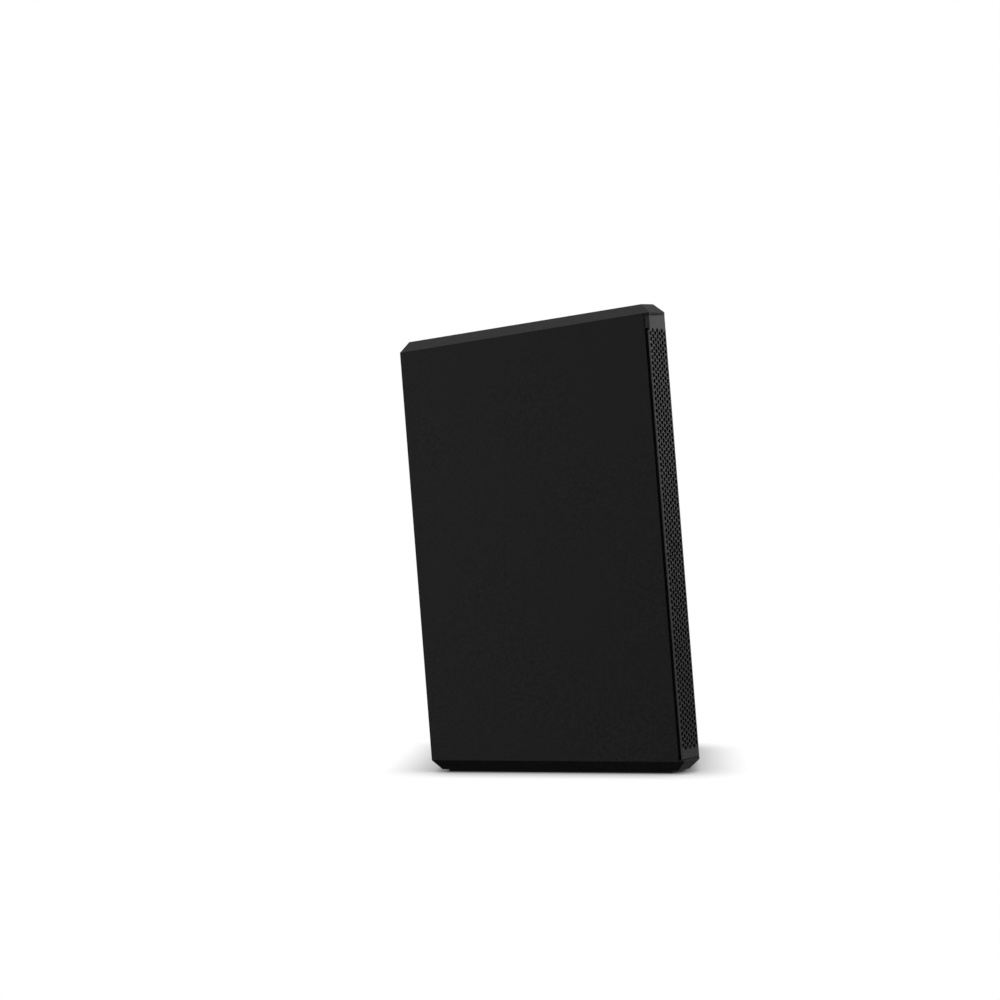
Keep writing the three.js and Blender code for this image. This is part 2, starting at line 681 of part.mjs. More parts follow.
// ---- ports and wadding --------------------------------------------------------------------
const PORT_LENGTH = 74;
const WADDING = { thickness: 17.5, y: [42, 176], z: [62, 336] };
[['left', -1], ['right', 1]].forEach(([label, side]) => {
  const port = turned([
    [PORT_BORE + 1.5, BAFFLE_FRONT - 2.3],
    [PORT_BORE + 5, BAFFLE_FRONT - 2.3],
    [PORT_BORE + 5, BAFFLE_FRONT - GAP],
    [PORT_BORE + 2, BAFFLE_FRONT - GAP],
    [PORT_BORE + 2, BAFFLE_FRONT + PORT_LENGTH],
    [PORT_BORE, BAFFLE_FRONT + PORT_LENGTH],
    [PORT_BORE, BAFFLE_FRONT + 0.5],
  ], 20);
  const mesh = addPiece(`port_tube_${label}`, port, FINISH.plastic());
  mesh.position.set(side * PORT_X, 0, PORT_Z);
  const wall = innerHalfWidth - 0.5;
  const sheetX = [side * wall, side * (wall - WADDING.thickness)].sort((a, b) => a - b);
  const wadding = block(sheetX, WADDING.y, WADDING.z);
  addPiece(`wadding_${label}`, wadding, FINISH.wadding());
});

// ---- electronics panel --------------------------------------------------------------------
const panelHalfWidth = RECESS.halfWidth - GAP;
const SCREW_X = 74;
const screwRows = [RECESS.bottom + 9, RECESS.top - 9];
const INLET = { x: -50, width: 27, height: 20, depth: 24, wall: 1.4, flange: [31, 25] };
const SWITCH = { x: -16, width: 13, height: 20, depth: 14 };
const SOCKETS = [['input_socket', 22], ['link_socket', 54]];
const SOCKET = { radius: 11.8, bore: 9.5, boreDepth: 11, depth: 22, flange: [26, 31] };
const KNOB_X = 40;
const BUTTON_X = 6;
const LENS_X = -14;
const SHAFT_RADIUS = 3;
const PANEL_SCREW_HOLE = 2.3;
const PANEL_INNER = PANEL_BACK + GAP;
const controlHole = (x, radius) => circlePoints(x, CONTROL_ROW_Z, radius, 16);
const panelHoles = [
  rectanglePoints(INLET.x, LOWER_ROW_Z, INLET.width + 2 * GAP, INLET.height + 2 * GAP),
  rectanglePoints(SWITCH.x, LOWER_ROW_Z, SWITCH.width + 2 * GAP, SWITCH.height + 2 * GAP),
  ...SOCKETS.map(([, x]) => circlePoints(x, LOWER_ROW_Z, SOCKET.radius + GAP, 24)),
  controlHole(KNOB_X, SHAFT_RADIUS + 0.6),
  controlHole(BUTTON_X, 4.4),
  controlHole(LENS_X, 2.9),
  ...screwRows.flatMap((z) => [-SCREW_X, SCREW_X].map((x) => circlePoints(x, z, PANEL_SCREW_HOLE, 10))),
];
const panelOutline = rectanglePoints(
  0,
  (RECESS.bottom + RECESS.top) / 2,
  2 * panelHalfWidth,
  RECESS.top - RECESS.bottom - 2 * GAP,
);
const ampPanel = drilledPlate(panelOutline, panelHoles, PANEL_INNER, PANEL_SHEET - GAP);
addPiece('amp_panel', ampPanel, FINISH.blackSteel());

const RAIL = { inner: 68, outer: 92, depth: 12 };
[['left', -1], ['right', 1]].forEach(([label, side]) => {
  const centre = (side * (RAIL.inner + RAIL.outer)) / 2;
  const middle = (RECESS.bottom + RECESS.top) / 2;
  const outline = rectanglePoints(centre, middle, RAIL.outer - RAIL.inner, RECESS.top - RECESS.bottom);
  const holes = screwRows.map((z) => circlePoints(side * SCREW_X, z, PANEL_SCREW_HOLE, 10));
  const rail = drilledPlate(outline, holes, PANEL_BACK - GAP - RAIL.depth, RAIL.depth);
  addPiece(`panel_rail_${label}`, rail, FINISH.board());
});

screwRows.forEach((z, row) => [-SCREW_X, SCREW_X].forEach((x, column) => {
  const screw = turned([
    [0, PANEL_FACE + 2.6],
    [2.6, PANEL_FACE + 2.4],
    [3.9, PANEL_FACE + 1.4],
    [3.9, PANEL_FACE + GAP],
    [1.9, PANEL_FACE + GAP],
    [1.9, PANEL_BACK - 9],
    [0, PANEL_BACK - 10.5],
  ], 12);
  const mesh = addPiece(`panel_screw_${2 * row + column + 1}`, screw, FINISH.blackSteel());
  mesh.position.set(x, 0, z);
}));

const inletFace = PANEL_FACE + GAP;
const inletBody = joined(
  block(
    [-INLET.flange[0] / 2, INLET.flange[0] / 2],
    [inletFace, inletFace + 2],
    [-INLET.flange[1] / 2, INLET.flange[1] / 2],
  ),
  block(
    [-INLET.width / 2, INLET.width / 2],
    [inletFace - INLET.depth, inletFace + 1],
    [-INLET.height / 2, INLET.height / 2],
  ),
);
const cavity = { width: INLET.width - 2 * INLET.wall, height: INLET.height - 2 * INLET.wall };
const cavityCorner = 5;
const cavityShape = polygon([
  [-cavity.width / 2, -cavity.height / 2],
  [cavity.width / 2, -cavity.height / 2],
  [cavity.width / 2, cavity.height / 2 - cavityCorner],
  [cavity.width / 2 - cavityCorner, cavity.height / 2],
  [-cavity.width / 2 + cavityCorner, cavity.height / 2],
  [-cavity.width / 2, cavity.height / 2 - cavityCorner],
]);
const CAVITY_DEPTH = 18;
const inletCavity = uprightPlate(cavityShape, inletFace + 2 - CAVITY_DEPTH, CAVITY_DEPTH + 2);
const inlet = addPiece('mains_inlet', cut(inletBody, inletCavity), FINISH.plastic());
inlet.position.set(INLET.x, 0, LOWER_ROW_Z);

const bezelFace = PANEL_FACE + GAP;
const bezelBody = joined(
  block([-SWITCH.width / 2 - 1.5, SWITCH.width / 2 + 1.5], [bezelFace, bezelFace + 1.6], [-12, 12]),
  block(
    [-SWITCH.width / 2, SWITCH.width / 2],
    [bezelFace - SWITCH.depth, bezelFace + 1],
    [-SWITCH.height / 2, SWITCH.height / 2],
  ),
);
const bezelWell = block(
  [-SWITCH.width / 2 + 1.2, SWITCH.width / 2 - 1.2],
  [bezelFace - SWITCH.depth + 2, bezelFace + 4],
  [-SWITCH.height / 2 + 1.2, SWITCH.height / 2 - 1.2],
);
const bezel = addPiece('switch_bezel', cut(bezelBody, bezelWell), FINISH.plastic());
bezel.position.set(SWITCH.x, 0, LOWER_ROW_Z);

// The rocker's section: two flats that meet in a shallow valley, over a rounded belly.
const ROCKER = { halfLength: 7.8, width: 9.4, lift: 1.4, belly: 5 };
const ROCKER_PIVOT_Y = bezelFace - 2.4;
function rockerSection() {
  const belly = Array.from({ length: 7 }, (_, i) => {
    const angle = Math.PI * (1 + i / 6);
    return [ROCKER.belly * Math.sin(angle) - 1, ROCKER.halfLength * 0.8 * Math.cos(angle)];
  });
  return polygon([
    [2.6 + ROCKER.lift, ROCKER.halfLength],
    [2.6, 0],
    [2.6 + ROCKER.lift, -ROCKER.halfLength],
    [0.4, -ROCKER.halfLength],
    ...belly,
    [0.4, ROCKER.halfLength],
  ]);
}
const rockerBar = sidePlate(rockerSection(), -ROCKER.width / 2, ROCKER.width);
const rocker = addPiece('power_rocker', rockerBar, FINISH.plastic());
rocker.position.set(SWITCH.x, ROCKER_PIVOT_Y, LOWER_ROW_Z);
rocker.rotation.x = -ROCKER_REST_TILT;

SOCKETS.forEach(([name, x]) => {
  const face = PANEL_FACE + GAP;
  const barrel = turned([
    [0, face + 1.8],
    [SOCKET.radius, face + 1.8],
    [SOCKET.radius, face + 2 - SOCKET.depth],
    [0, face + 2 - SOCKET.depth],
  ], 24);
  const flangeShape = polygon(roundedRectanglePoints(0, 0, ...SOCKET.flange, 2.5, 2));
  const flange = uprightPlate(flangeShape, face, 2);
  const bore = tubeBore(SOCKET.bore, face + 3, face + 2 - SOCKET.boreDepth);
  const jack = tubeBore(3.3, face + 3, face + 4 - SOCKET.depth);
  const mesh = addPiece(name, cut(joined(flange, barrel), bore, jack), FINISH.plastic());
  mesh.position.set(x, 0, LOWER_ROW_Z);
});

function tubeBore(radius, yHigh, yLow) {
  return turned([[0, yLow], [radius, yLow], [radius, yHigh], [0, yHigh]], 24);
}

const KNOB = { radius: 9, skirt: 10, grip: 12, base: PANEL_FACE + 0.8, top: BACK_FACE - 1 };
function fluted(radius, depth, flutes) {
  const points = [];
  for (let i = 0; i < flutes * 2; i += 1) {
    const angle = (Math.PI * i) / flutes;
    const reach = i % 2 ? radius - depth : radius;
    points.push([reach * Math.cos(angle), reach * Math.sin(angle)]);
  }
  return polygon(points);
}
const knobSkirt = tubeBore(KNOB.skirt, KNOB.base + 2, KNOB.base);
const knobGrip = uprightPlate(fluted(KNOB.radius, 0.7, KNOB.grip), KNOB.base + 1, KNOB.top - KNOB.base - 1);
const knobPointer = block([-0.7, 0.7], [KNOB.top - 2, KNOB.top + 0.4], [2, KNOB.radius - 0.4]);
const knobSocket = tubeBore(SHAFT_RADIUS + GAP, KNOB.top - 3, KNOB.base - 1);
const knobBody = cut(joined(knobSkirt, knobGrip, knobPointer), knobSocket);
const knob = addPiece('level_knob', knobBody, FINISH.plastic());
knob.position.set(KNOB_X, 0, CONTROL_ROW_Z);
const shaft = tubeBore(SHAFT_RADIUS, KNOB.top - 3 - GAP, PANEL_BACK - 6);
addPiece('knob_shaft', shaft, FINISH.steel()).position.set(KNOB_X, 0, CONTROL_ROW_Z);
const potBody = tube(SHAFT_RADIUS + 0.6, 8.5, PANEL_BACK - 10, PANEL_BACK - GAP, 20);
const potFloor = tubeBore(8.5, PANEL_BACK - 9, PANEL_BACK - 11);
addPiece('level_pot', joined(potBody, potFloor), FINISH.steel()).position.set(KNOB_X, 0, CONTROL_ROW_Z);

const BUTTON = { radius: 4, stem: 2.2, stand: 3.4, travel: 1.5 };
addPiece('source_button', turned([
  [0, PANEL_FACE + BUTTON.stand],
  [BUTTON.radius - 0.6, PANEL_FACE + BUTTON.stand],
  [BUTTON.radius, PANEL_FACE + BUTTON.stand - 0.6],
  [BUTTON.radius, PANEL_BACK - 1],
  [BUTTON.stem, PANEL_BACK - 1],
  [BUTTON.stem, PANEL_BACK - 4],
  [0, PANEL_BACK - 4],
], 20), FINISH.plastic()).position.set(BUTTON_X, 0, CONTROL_ROW_Z);
const switchTop = PANEL_BACK - 4 - BUTTON.travel - GAP;
const buttonSwitch = block([-5, 5], [switchTop - 5, switchTop], [-5, 5]);
addPiece('button_switch', buttonSwitch, FINISH.plastic()).position.set(BUTTON_X, 0, CONTROL_ROW_Z);

addPiece('status_lens', turned([
  [0, PANEL_FACE + 1.6],
  [1.6, PANEL_FACE + 1.2],
  [2.5, PANEL_FACE + 0.3],
  [2.5, PANEL_BACK - 5],
  [0, PANEL_BACK - 5],
], 16), FINISH.lens()).position.set(LENS_X, 0, CONTROL_ROW_Z);

// ---- heat sink, boards and power supply ---------------------------------------------------
const SINK = { halfWidth: 64, z: [166, 216], base: 3, fins: 13, fin: 1.8, reach: BACK_FACE - 1.5 };
const sinkFace = PANEL_FACE + GAP;
const sinkBase = block([-SINK.halfWidth, SINK.halfWidth], [sinkFace, sinkFace + SINK.base], SINK.z);
const sinkFins = Array.from({ length: SINK.fins }, (_, i) => {
  const x = -SINK.halfWidth + ((2 * SINK.halfWidth - SINK.fin) * i) / (SINK.fins - 1);
  return block([x, x + SINK.fin], [sinkFace + 1, SINK.reach], SINK.z);
});
addPiece('heat_sink', joined(sinkBase, ...sinkFins), FINISH.aluminium());

const BOARD = { halfWidth: 62, z: [130, 222], back: PANEL_BACK - 16, sheet: 1.6 };
const boardFront = BOARD.back - BOARD.sheet;
const board = block([-BOARD.halfWidth, BOARD.halfWidth], [boardFront, BOARD.back], BOARD.z);
addPiece('amp_board', board, FINISH.circuitBoard());
const CAPACITOR = { x: -30, z: 200, radius: 11, height: 31 };
addPiece('smoothing_capacitor', turned([
  [0, boardFront - GAP],
  [CAPACITOR.radius, boardFront - GAP],
  [CAPACITOR.radius, boardFront - CAPACITOR.height + 1],
  [CAPACITOR.radius - 1, boardFront - CAPACITOR.height],
  [0, boardFront - CAPACITOR.height],
], 20), FINISH.plastic()).position.set(CAPACITOR.x, 0, CAPACITOR.z);

const TOROID = { x: 40, y: 142, z: 22, inner: 12, outer: 34, height: 30, round: 5 };
const toroid = turned([
  [TOROID.inner, TOROID.round],
  [TOROID.inner + TOROID.round, 0],
  [TOROID.outer - TOROID.round, 0],
  [TOROID.outer, TOROID.round],
  [TOROID.outer, TOROID.height - TOROID.round],
  [TOROID.outer - TOROID.round, TOROID.height],
  [TOROID.inner + TOROID.round, TOROID.height],
  [TOROID.inner, TOROID.height - TOROID.round],
], 28).rotateX(Math.PI / 2);
addPiece('mains_transformer', toroid, FINISH.cloth()).position.set(TOROID.x, TOROID.y, TOROID.z);

// ---- leads from the amplifier board to the two drivers ------------------------------------
function lead(points, radius) {
  const curve = new THREE.CatmullRomCurve3(points.map((point) => new THREE.Vector3(...point)));
  const section = polygon(circlePoints(0, 0, radius, 8));
  return new THREE.ExtrudeGeometry(section, { steps: 18, bevelEnabled: false, extrudePath: curve });
}
const LEAD_RADIUS = 2;
const boardEdgeY = boardFront - 2.5;
addPiece('woofer_lead', lead([
  [-50, boardEdgeY, 150],
  [-58, boardEdgeY - 14, 140],
  [-74, boardEdgeY - 50, 134],
  [-76, boardEdgeY - 90, 128],
  [-71, boardEdgeY - 110, 126],
  [-63, boardEdgeY - 114, 126],
], LEAD_RADIUS), FINISH.rubber());
const driverSideY = driverStart + 14;
addPiece('tweeter_lead', lead([
  [46, boardEdgeY, 205],
  [50, boardEdgeY - 10, 216],
  [58, boardEdgeY - 26, 246],
  [60, driverSideY + 12, 276],
  [54, driverSideY + 2, 290],
  [44.5, driverSideY, HORN_Z],
], LEAD_RADIUS), FINISH.rubber());

// ---- stand it on the floor, over the origin -----------------------------------------------
group.updateMatrixWorld(true);
const extent = new THREE.Box3().setFromObject(group, true);
cabinet.position.set(0, -(extent.min.y + extent.max.y) / 2, -extent.min.z);

export default group;
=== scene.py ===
import json
import math

import bmesh
import bpy
from mathutils import Matrix, Vector


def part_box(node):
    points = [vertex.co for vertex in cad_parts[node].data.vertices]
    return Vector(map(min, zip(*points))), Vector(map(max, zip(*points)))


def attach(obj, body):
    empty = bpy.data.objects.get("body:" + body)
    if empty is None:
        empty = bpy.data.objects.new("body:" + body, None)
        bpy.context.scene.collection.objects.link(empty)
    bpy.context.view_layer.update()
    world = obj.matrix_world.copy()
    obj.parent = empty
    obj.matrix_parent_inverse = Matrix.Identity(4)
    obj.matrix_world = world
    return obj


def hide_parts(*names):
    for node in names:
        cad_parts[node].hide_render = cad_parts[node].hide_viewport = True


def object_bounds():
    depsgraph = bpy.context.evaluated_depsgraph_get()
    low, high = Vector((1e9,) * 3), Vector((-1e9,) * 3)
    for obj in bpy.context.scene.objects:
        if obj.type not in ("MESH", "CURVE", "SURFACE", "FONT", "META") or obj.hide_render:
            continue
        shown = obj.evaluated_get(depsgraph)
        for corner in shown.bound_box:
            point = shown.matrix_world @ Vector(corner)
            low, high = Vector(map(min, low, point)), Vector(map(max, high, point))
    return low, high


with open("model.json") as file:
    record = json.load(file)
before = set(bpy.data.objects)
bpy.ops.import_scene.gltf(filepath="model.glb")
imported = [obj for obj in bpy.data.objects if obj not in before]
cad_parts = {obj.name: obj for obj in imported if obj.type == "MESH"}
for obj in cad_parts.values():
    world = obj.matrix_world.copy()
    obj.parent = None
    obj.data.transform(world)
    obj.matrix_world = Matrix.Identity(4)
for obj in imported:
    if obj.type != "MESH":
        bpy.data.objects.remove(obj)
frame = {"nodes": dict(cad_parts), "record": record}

cad_low, cad_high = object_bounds()
nodes = frame["nodes"]
MM = 0.001

# ---- the design's own dimensions, in metres -------------------------------------------------
TAPER = math.radians(4.5)           # the cabinet leans back, and each cap slopes, by this much
GAP = 0.3 * MM                      # between pieces that touch
SIDE_SETBACK = 4.6 * MM             # of the side boards, behind the caps' front corners
BOARD = 15 * MM
BOARD_BACK = 212 * MM * math.cos(TAPER)
FRONT_HEIGHT = 377 * MM             # between the caps' front corners
HALF_WIDTH = cad_high.x
CAP_FACET_ANGLE = math.radians(25)
CAP_FACET_DEPTH = 12.75 * MM
LIP_HEIGHT = 1.55 * MM
LIP_THICKNESS = 2.4 * MM
FACET_ANGLE = math.radians(25.5)    # of the grille's two outer faces
GRILLE_EDGE_Y = 1.3 * MM
GRILLE_FRONT_Y = -12.7 * MM
GRILLE_END_GAP = 1.9 * MM           # between the grille's ends and the caps' edges
GRILLE_SHEET = 1.2 * MM
FOAM_GAP = 0.2 * MM
FOAM_THICKNESS = 3 * MM
FOAM_MARGIN = 0.6 * MM              # inside the grille's upright edges
FOAM_END_MARGIN = 3 * MM            # inside the grille's ends
LOWER_ROW_Z = 92 * MM               # of the sockets, the switch and the inlet

# The upright frame of the design: Y = 0 on the caps' front corners, Z = 0 on the lower chamfer's
# upper line. The side board's lowest front corner gives its place in the leaning cabinet.
side_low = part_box("side_panel_left")[0]
board_foot = SIDE_SETBACK * math.tan(TAPER) + GAP
UPRIGHT = Matrix.Translation((
    0,
    side_low.y - SIDE_SETBACK * math.cos(TAPER) - board_foot * math.sin(TAPER),
    side_low.z - GAP * math.cos(TAPER),
)) @ Matrix.Rotation(-TAPER, 4, "X")

# ---- camera, light and floor ----------------------------------------------------------------
OVERHEAD = 1.92                     # strength of a broad sun
OVERHEAD_SPREAD = math.radians(100)
OVERHEAD_AIM = (0.05, 0.05, -1)
# Each softbox's name, place, side, and power in watts; the last one stands under the floor, which
# casts no shadow.
SOFTBOXES = (
    ("far_softbox", (2.4, -1.6, 0.9), 1.2, 16),
    ("near_softbox", (-1.7, 1.0, 0.25), 0.8, 9.8),
    ("back_softbox", (1.5, 2.2, 1.0), 1.4, 50),
    ("floor_bounce", (0.5, -1.3, -0.8), 0.6, 5),
)
SOFTBOX_TARGET = (0, 0, 0.2)
FILLS = (((0, 0, 1), 0.46), ((0, -1, 0), 0.16))     # world light, from above and from the front
FILL_EDGE = -0.1                    # the cosine at which each of them starts
CONTACT_SHADOW = 45 * MM            # how far it spreads over the floor from where the cabinet stands
SHADOW_SAMPLES = 16
FLOOR_HALF = 30
FLOOR_DROP = 0.2 * MM
VIEW_TURN = math.radians(4.1)       # the camera stands a little towards the grille's side
CAMERA_DISTANCE = 2.059             # along the view, to the near lower front corner
CORNER_RIGHT = 0.15405              # where that corner lies, right of the view's axis
CORNER_BELOW = 0.2121               # and below it
LENS_MM = 88.78
HORIZON_SHIFT = 0.008


def make_camera():
    data = bpy.data.cameras.new("camera")
    data.lens = LENS_MM
    data.sensor_width = 36
    data.shift_y = HORIZON_SHIFT
    data.clip_start = 0.05
    data.clip_end = 60
    camera = bpy.data.objects.new("camera", data)
    bpy.context.scene.collection.objects.link(camera)
    forward = Vector((math.cos(VIEW_TURN), math.sin(VIEW_TURN), 0))
    right = Vector((forward.y, -forward.x, 0))
    up = Vector((0, 0, 1))
    corner = UPRIGHT @ Vector((-HALF_WIDTH, 0, 0))
    camera.location = corner - forward * CAMERA_DISTANCE - right * CORNER_RIGHT + up * CORNER_BELOW
    camera.rotation_mode = "QUATERNION"
    camera.rotation_quaternion = forward.to_track_quat("-Z", "Y")
    bpy.context.scene.camera = camera


def softbox(name, location, side, power):
    data = bpy.data.lights.new(name, "AREA")
    data.shape = "RECTANGLE"
    data.size = side
    data.size_y = side
    data.energy = power
    lamp = bpy.data.objects.new(name, data)
    bpy.context.scene.collection.objects.link(lamp)
    lamp.location = location
    lamp.rotation_mode = "QUATERNION"
    aim = Vector(SOFTBOX_TARGET) - Vector(location)
    lamp.rotation_quaternion = aim.to_track_quat("-Z", "Y")


def make_world():
    """White behind the object, and soft light on it from above and from the front."""
    world = bpy.data.worlds.new("studio")
    bpy.context.scene.world = world
    world.use_nodes = True
    tree = world.node_tree
    tree.nodes.clear()
    output = tree.nodes.new("ShaderNodeOutputWorld")
    mix = tree.nodes.new("ShaderNodeMixShader")
    path = tree.nodes.new("ShaderNodeLightPath")
    direction = tree.nodes.new("ShaderNodeTexCoord").outputs["Generated"]
    fill = tree.nodes.new("ShaderNodeBackground")
    strength = None
    for towards, amount in FILLS:
        facing = tree.nodes.new("ShaderNodeVectorMath")
        facing.operation = "DOT_PRODUCT"
        facing.inputs[1].default_value = towards
        tree.links.new(direction, facing.inputs[0])
        level = tree.nodes.new("ShaderNodeMapRange")
        level.inputs["From Min"].default_value = FILL_EDGE
        level.inputs["To Max"].default_value = amount
        tree.links.new(facing.outputs["Value"], level.inputs["Value"])
        if strength:
            add = tree.nodes.new("ShaderNodeMath")
            tree.links.new(strength, add.inputs[0])
            tree.links.new(level.outputs["Result"], add.inputs[1])
            strength = add.outputs[0]
        else:
            strength = level.outputs["Result"]
    tree.links.new(strength, fill.inputs["Strength"])
    backdrop = tree.nodes.new("ShaderNodeBackground")
    backdrop.inputs["Color"].default_value = (1, 1, 1, 1)
    tree.links.new(path.outputs["Is Camera Ray"], mix.inputs["Fac"])
    tree.links.new(fill.outputs[0], mix.inputs[1])
    tree.links.new(backdrop.outputs[0], mix.inputs[2])
    tree.links.new(mix.outputs[0], output.inputs["Surface"])


def make_floor():
    """White paper that glows evenly, darkened near the cabinet by an ambient-occlusion node."""
    corners = [(x * FLOOR_HALF, y * FLOOR_HALF, 0) for x, y in ((-1, -1), (1, -1), (1, 1), (-1, 1))]
    mesh = bpy.data.meshes.new("studio_floor")
    mesh.from_pydata(corners, [], [(0, 1, 2, 3)])
    floor = bpy.data.objects.new("studio_floor", mesh)
    bpy.context.scene.collection.objects.link(floor)
    floor.location.z = cad_low.z - FLOOR_DROP
    floor.visible_diffuse = False
    floor.visible_glossy = False
    floor.visible_shadow = False
    paper = bpy.data.materials.new("floor_paper")
    paper.use_nodes = True
    tree = paper.node_tree
    tree.nodes.clear()
    contact = tree.nodes.new("ShaderNodeAmbientOcclusion")
    contact.samples = SHADOW_SAMPLES
    contact.inputs["Distance"].default_value = CONTACT_SHADOW
    glow = tree.nodes.new("ShaderNodeEmission")
    output = tree.nodes.new("ShaderNodeOutputMaterial")
    tree.links.new(contact.outputs["Color"], glow.inputs["Color"])
    tree.links.new(glow.outputs["Emission"], output.inputs["Surface"])
    mesh.materials.append(paper)


def make_lights():
    sun_data = bpy.data.lights.new("overhead", "SUN")
    sun_data.energy = OVERHEAD
    sun_data.angle = OVERHEAD_SPREAD
    sun = bpy.data.objects.new("overhead", sun_data)
    bpy.context.scene.collection.objects.link(sun)
    sun.rotation_mode = "QUATERNION"
    sun.rotation_quaternion = Vector(OVERHEAD_AIM).to_track_quat("-Z", "Y")
    for setting in SOFTBOXES:
        softbox(*setting)


make_camera()
make_world()
make_floor()
make_lights()
bpy.context.scene.view_settings.view_transform = "Standard"


# ---- materials ------------------------------------------------------------------------------
class Surface:
    """A node material built round one Principled shader."""

    def __init__(self, name, roughness, metallic=0.0, specular=0.5):
        self.material = bpy.data.materials.new(name)
        self.material.use_nodes = True
        self.tree = self.material.node_tree
        self.shader = self.tree.nodes["Principled BSDF"]
        self.shader.inputs["Roughness"].default_value = roughness
        self.shader.inputs["Metallic"].default_value = metallic
        self.shader.inputs["Specular IOR Level"].default_value = specular
        self.coordinates = self.tree.nodes.new("ShaderNodeTexCoord").outputs["Object"]

    def node(self, kind, **inputs):
        made = self.tree.nodes.new(kind)
        for name, value in inputs.items():
            socket = made.inputs[name.replace("_", " ")]
            if isinstance(value, bpy.types.NodeSocket):
                self.tree.links.new(value, socket)
            else:
                socket.default_value = value
        return made

    def stretched(self, scale):
        mapping = self.node("ShaderNodeMapping", Vector=self.coordinates, Scale=scale)
        return mapping.outputs["Vector"]

    def noise(self, scale, detail=2.0, contrast=0.2, vector=None):
        """Noise stretched to run from 0 to 1; a smaller contrast gives harder edges."""
        place = vector or self.coordinates
        texture = self.node("ShaderNodeTexNoise", Vector=place, Scale=scale, Detail=detail)
        return self.ramped(texture.outputs["Fac"], 0.5 - contrast, 0.5 + contrast)

    def ramped(self, value, low, high, to_low=0.0, to_high=1.0):
        ramp = self.node("ShaderNodeMapRange", Value=value, From_Min=low, From_Max=high)
        ramp.inputs["To Min"].default_value = to_low
        ramp.inputs["To Max"].default_value = to_high
        return ramp.outputs["Result"]

    def mixed(self, factor, first, second):
        mix = self.tree.nodes.new("ShaderNodeMix")
        mix.data_type = "RGBA"
        self.tree.links.new(factor, mix.inputs["Factor"])
        for name, value in (("A", first), ("B", second)):
            socket = next(s for s in mix.inputs if s.name == name and s.type == "RGBA")
            if isinstance(value, bpy.types.NodeSocket):
                self.tree.links.new(value, socket)
            else:
                socket.default_value = (*value, 1)
        return next(s for s in mix.outputs if s.type == "RGBA")

    def colour(self, value):
        self.tree.links.new(value, self.shader.inputs["Base Color"])

    def roughness(self, value):
        self.tree.links.new(value, self.shader.inputs["Roughness"])

    def bump(self, height, distance, strength=1.0):
        bump = self.node("ShaderNodeBump", Height=height, Distance=distance, Strength=strength)
        self.tree.links.new(bump.outputs["Normal"], self.shader.inputs["Normal"])


def shade(colour, factor):
    return tuple(min(1.0, channel * factor) for channel in colour)


def grained(name, colour, roughness, grain, depth, spread=0.25, metallic=0.0, specular=0.5):
    """A finish with fine grain in its colour, roughness and relief, over a slow drift of tone."""
    surface = Surface(name, roughness, metallic, specular)
    fine = surface.noise(grain, detail=3.0)
    drift = surface.noise(grain / 60, detail=1.0)
    grain_colour = surface.mixed(fine, shade(colour, 1 - spread), shade(colour, 1 + spread))
    surface.colour(surface.mixed(drift, grain_colour, shade(colour, 1.0 + spread / 3)))
    surface.roughness(surface.ramped(fine, 0, 1, roughness - 0.06, min(1, roughness + 0.06)))
    surface.bump(fine, depth)
    return surface.material


def cabinet_paint():
    """Sprayed structured paint: soft pebbles two or three millimetres apart, slightly uneven."""
    surface = Surface("structured_paint", 0.62, specular=0.28)
    pebbles = surface.noise(380, detail=2.0, contrast=0.2)
    dust = surface.noise(1300, detail=2.0, contrast=0.2)
    drift = surface.noise(9, detail=1.0, contrast=0.3)
    base = surface.mixed(pebbles, (0.0038, 0.0038, 0.0041), (0.0158, 0.0158, 0.0161))
    dusted = surface.mixed(dust, (0.0066, 0.0066, 0.0069), (0.0136, 0.0136, 0.0139))
    surface.colour(surface.mixed(drift, base, dusted))
    surface.roughness(surface.ramped(pebbles, 0, 1, 0.58, 0.68))
    height = surface.node("ShaderNodeMath", Value=pebbles)
    height.operation = "ADD"
    surface.tree.links.new(dust, height.inputs[1])
    surface.bump(height.outputs[0], 0.11 * MM, 0.8)
    return surface.material


def plywood():
    surface = Surface("birch_plywood", 0.7)
    figure = surface.noise(60, detail=4.0, vector=surface.stretched((0.25, 1, 4)))
    layers = surface.node("ShaderNodeTexWave", Vector=surface.coordinates, Scale=105.0, Distortion=0.4)
    layers.bands_direction = "Y"
    wood = surface.mixed(figure, (0.36, 0.24, 0.13), (0.52, 0.38, 0.23))
    surface.colour(surface.mixed(surface.ramped(layers.outputs["Fac"], 0.7, 1), wood, (0.25, 0.15, 0.08)))
    surface.bump(figure, 0.08 * MM)
    return surface.material


def foam():
    surface = Surface("open_cell_foam", 0.95, specular=0.1)
    cells = surface.node("ShaderNodeTexVoronoi", Vector=surface.coordinates, Scale=900.0)
    depth = surface.ramped(cells.outputs["Distance"], 0.0, 0.7)
    # Each cell's middle is a pit, painted darker than its rim: painted shade in the pits, over the foam's
    # own near-black colour.
    surface.colour(surface.mixed(depth, (0.0015, 0.0015, 0.0016), (0.006, 0.006, 0.0062)))
    surface.bump(depth, 0.4 * MM)
    return surface.material


def woven_cloth():
    surface = Surface("dipped_weave", 0.75)
    warp = surface.node("ShaderNodeTexWave", Vector=surface.coordinates, Scale=420.0)
    weft = surface.node("ShaderNodeTexWave", Vector=surface.coordinates, Scale=420.0)
    weft.bands_direction = "Z"
    thread = surface.node("ShaderNodeMath", Value=warp.outputs["Fac"])
    thread.operation = "MAXIMUM"
    surface.tree.links.new(weft.outputs["Fac"], thread.inputs[1])
    surface.colour(surface.mixed(thread.outputs[0], (0.2, 0.11, 0.03), (0.44, 0.29, 0.12)))
    surface.bump(thread.outputs[0], 0.15 * MM)
    return surface.material


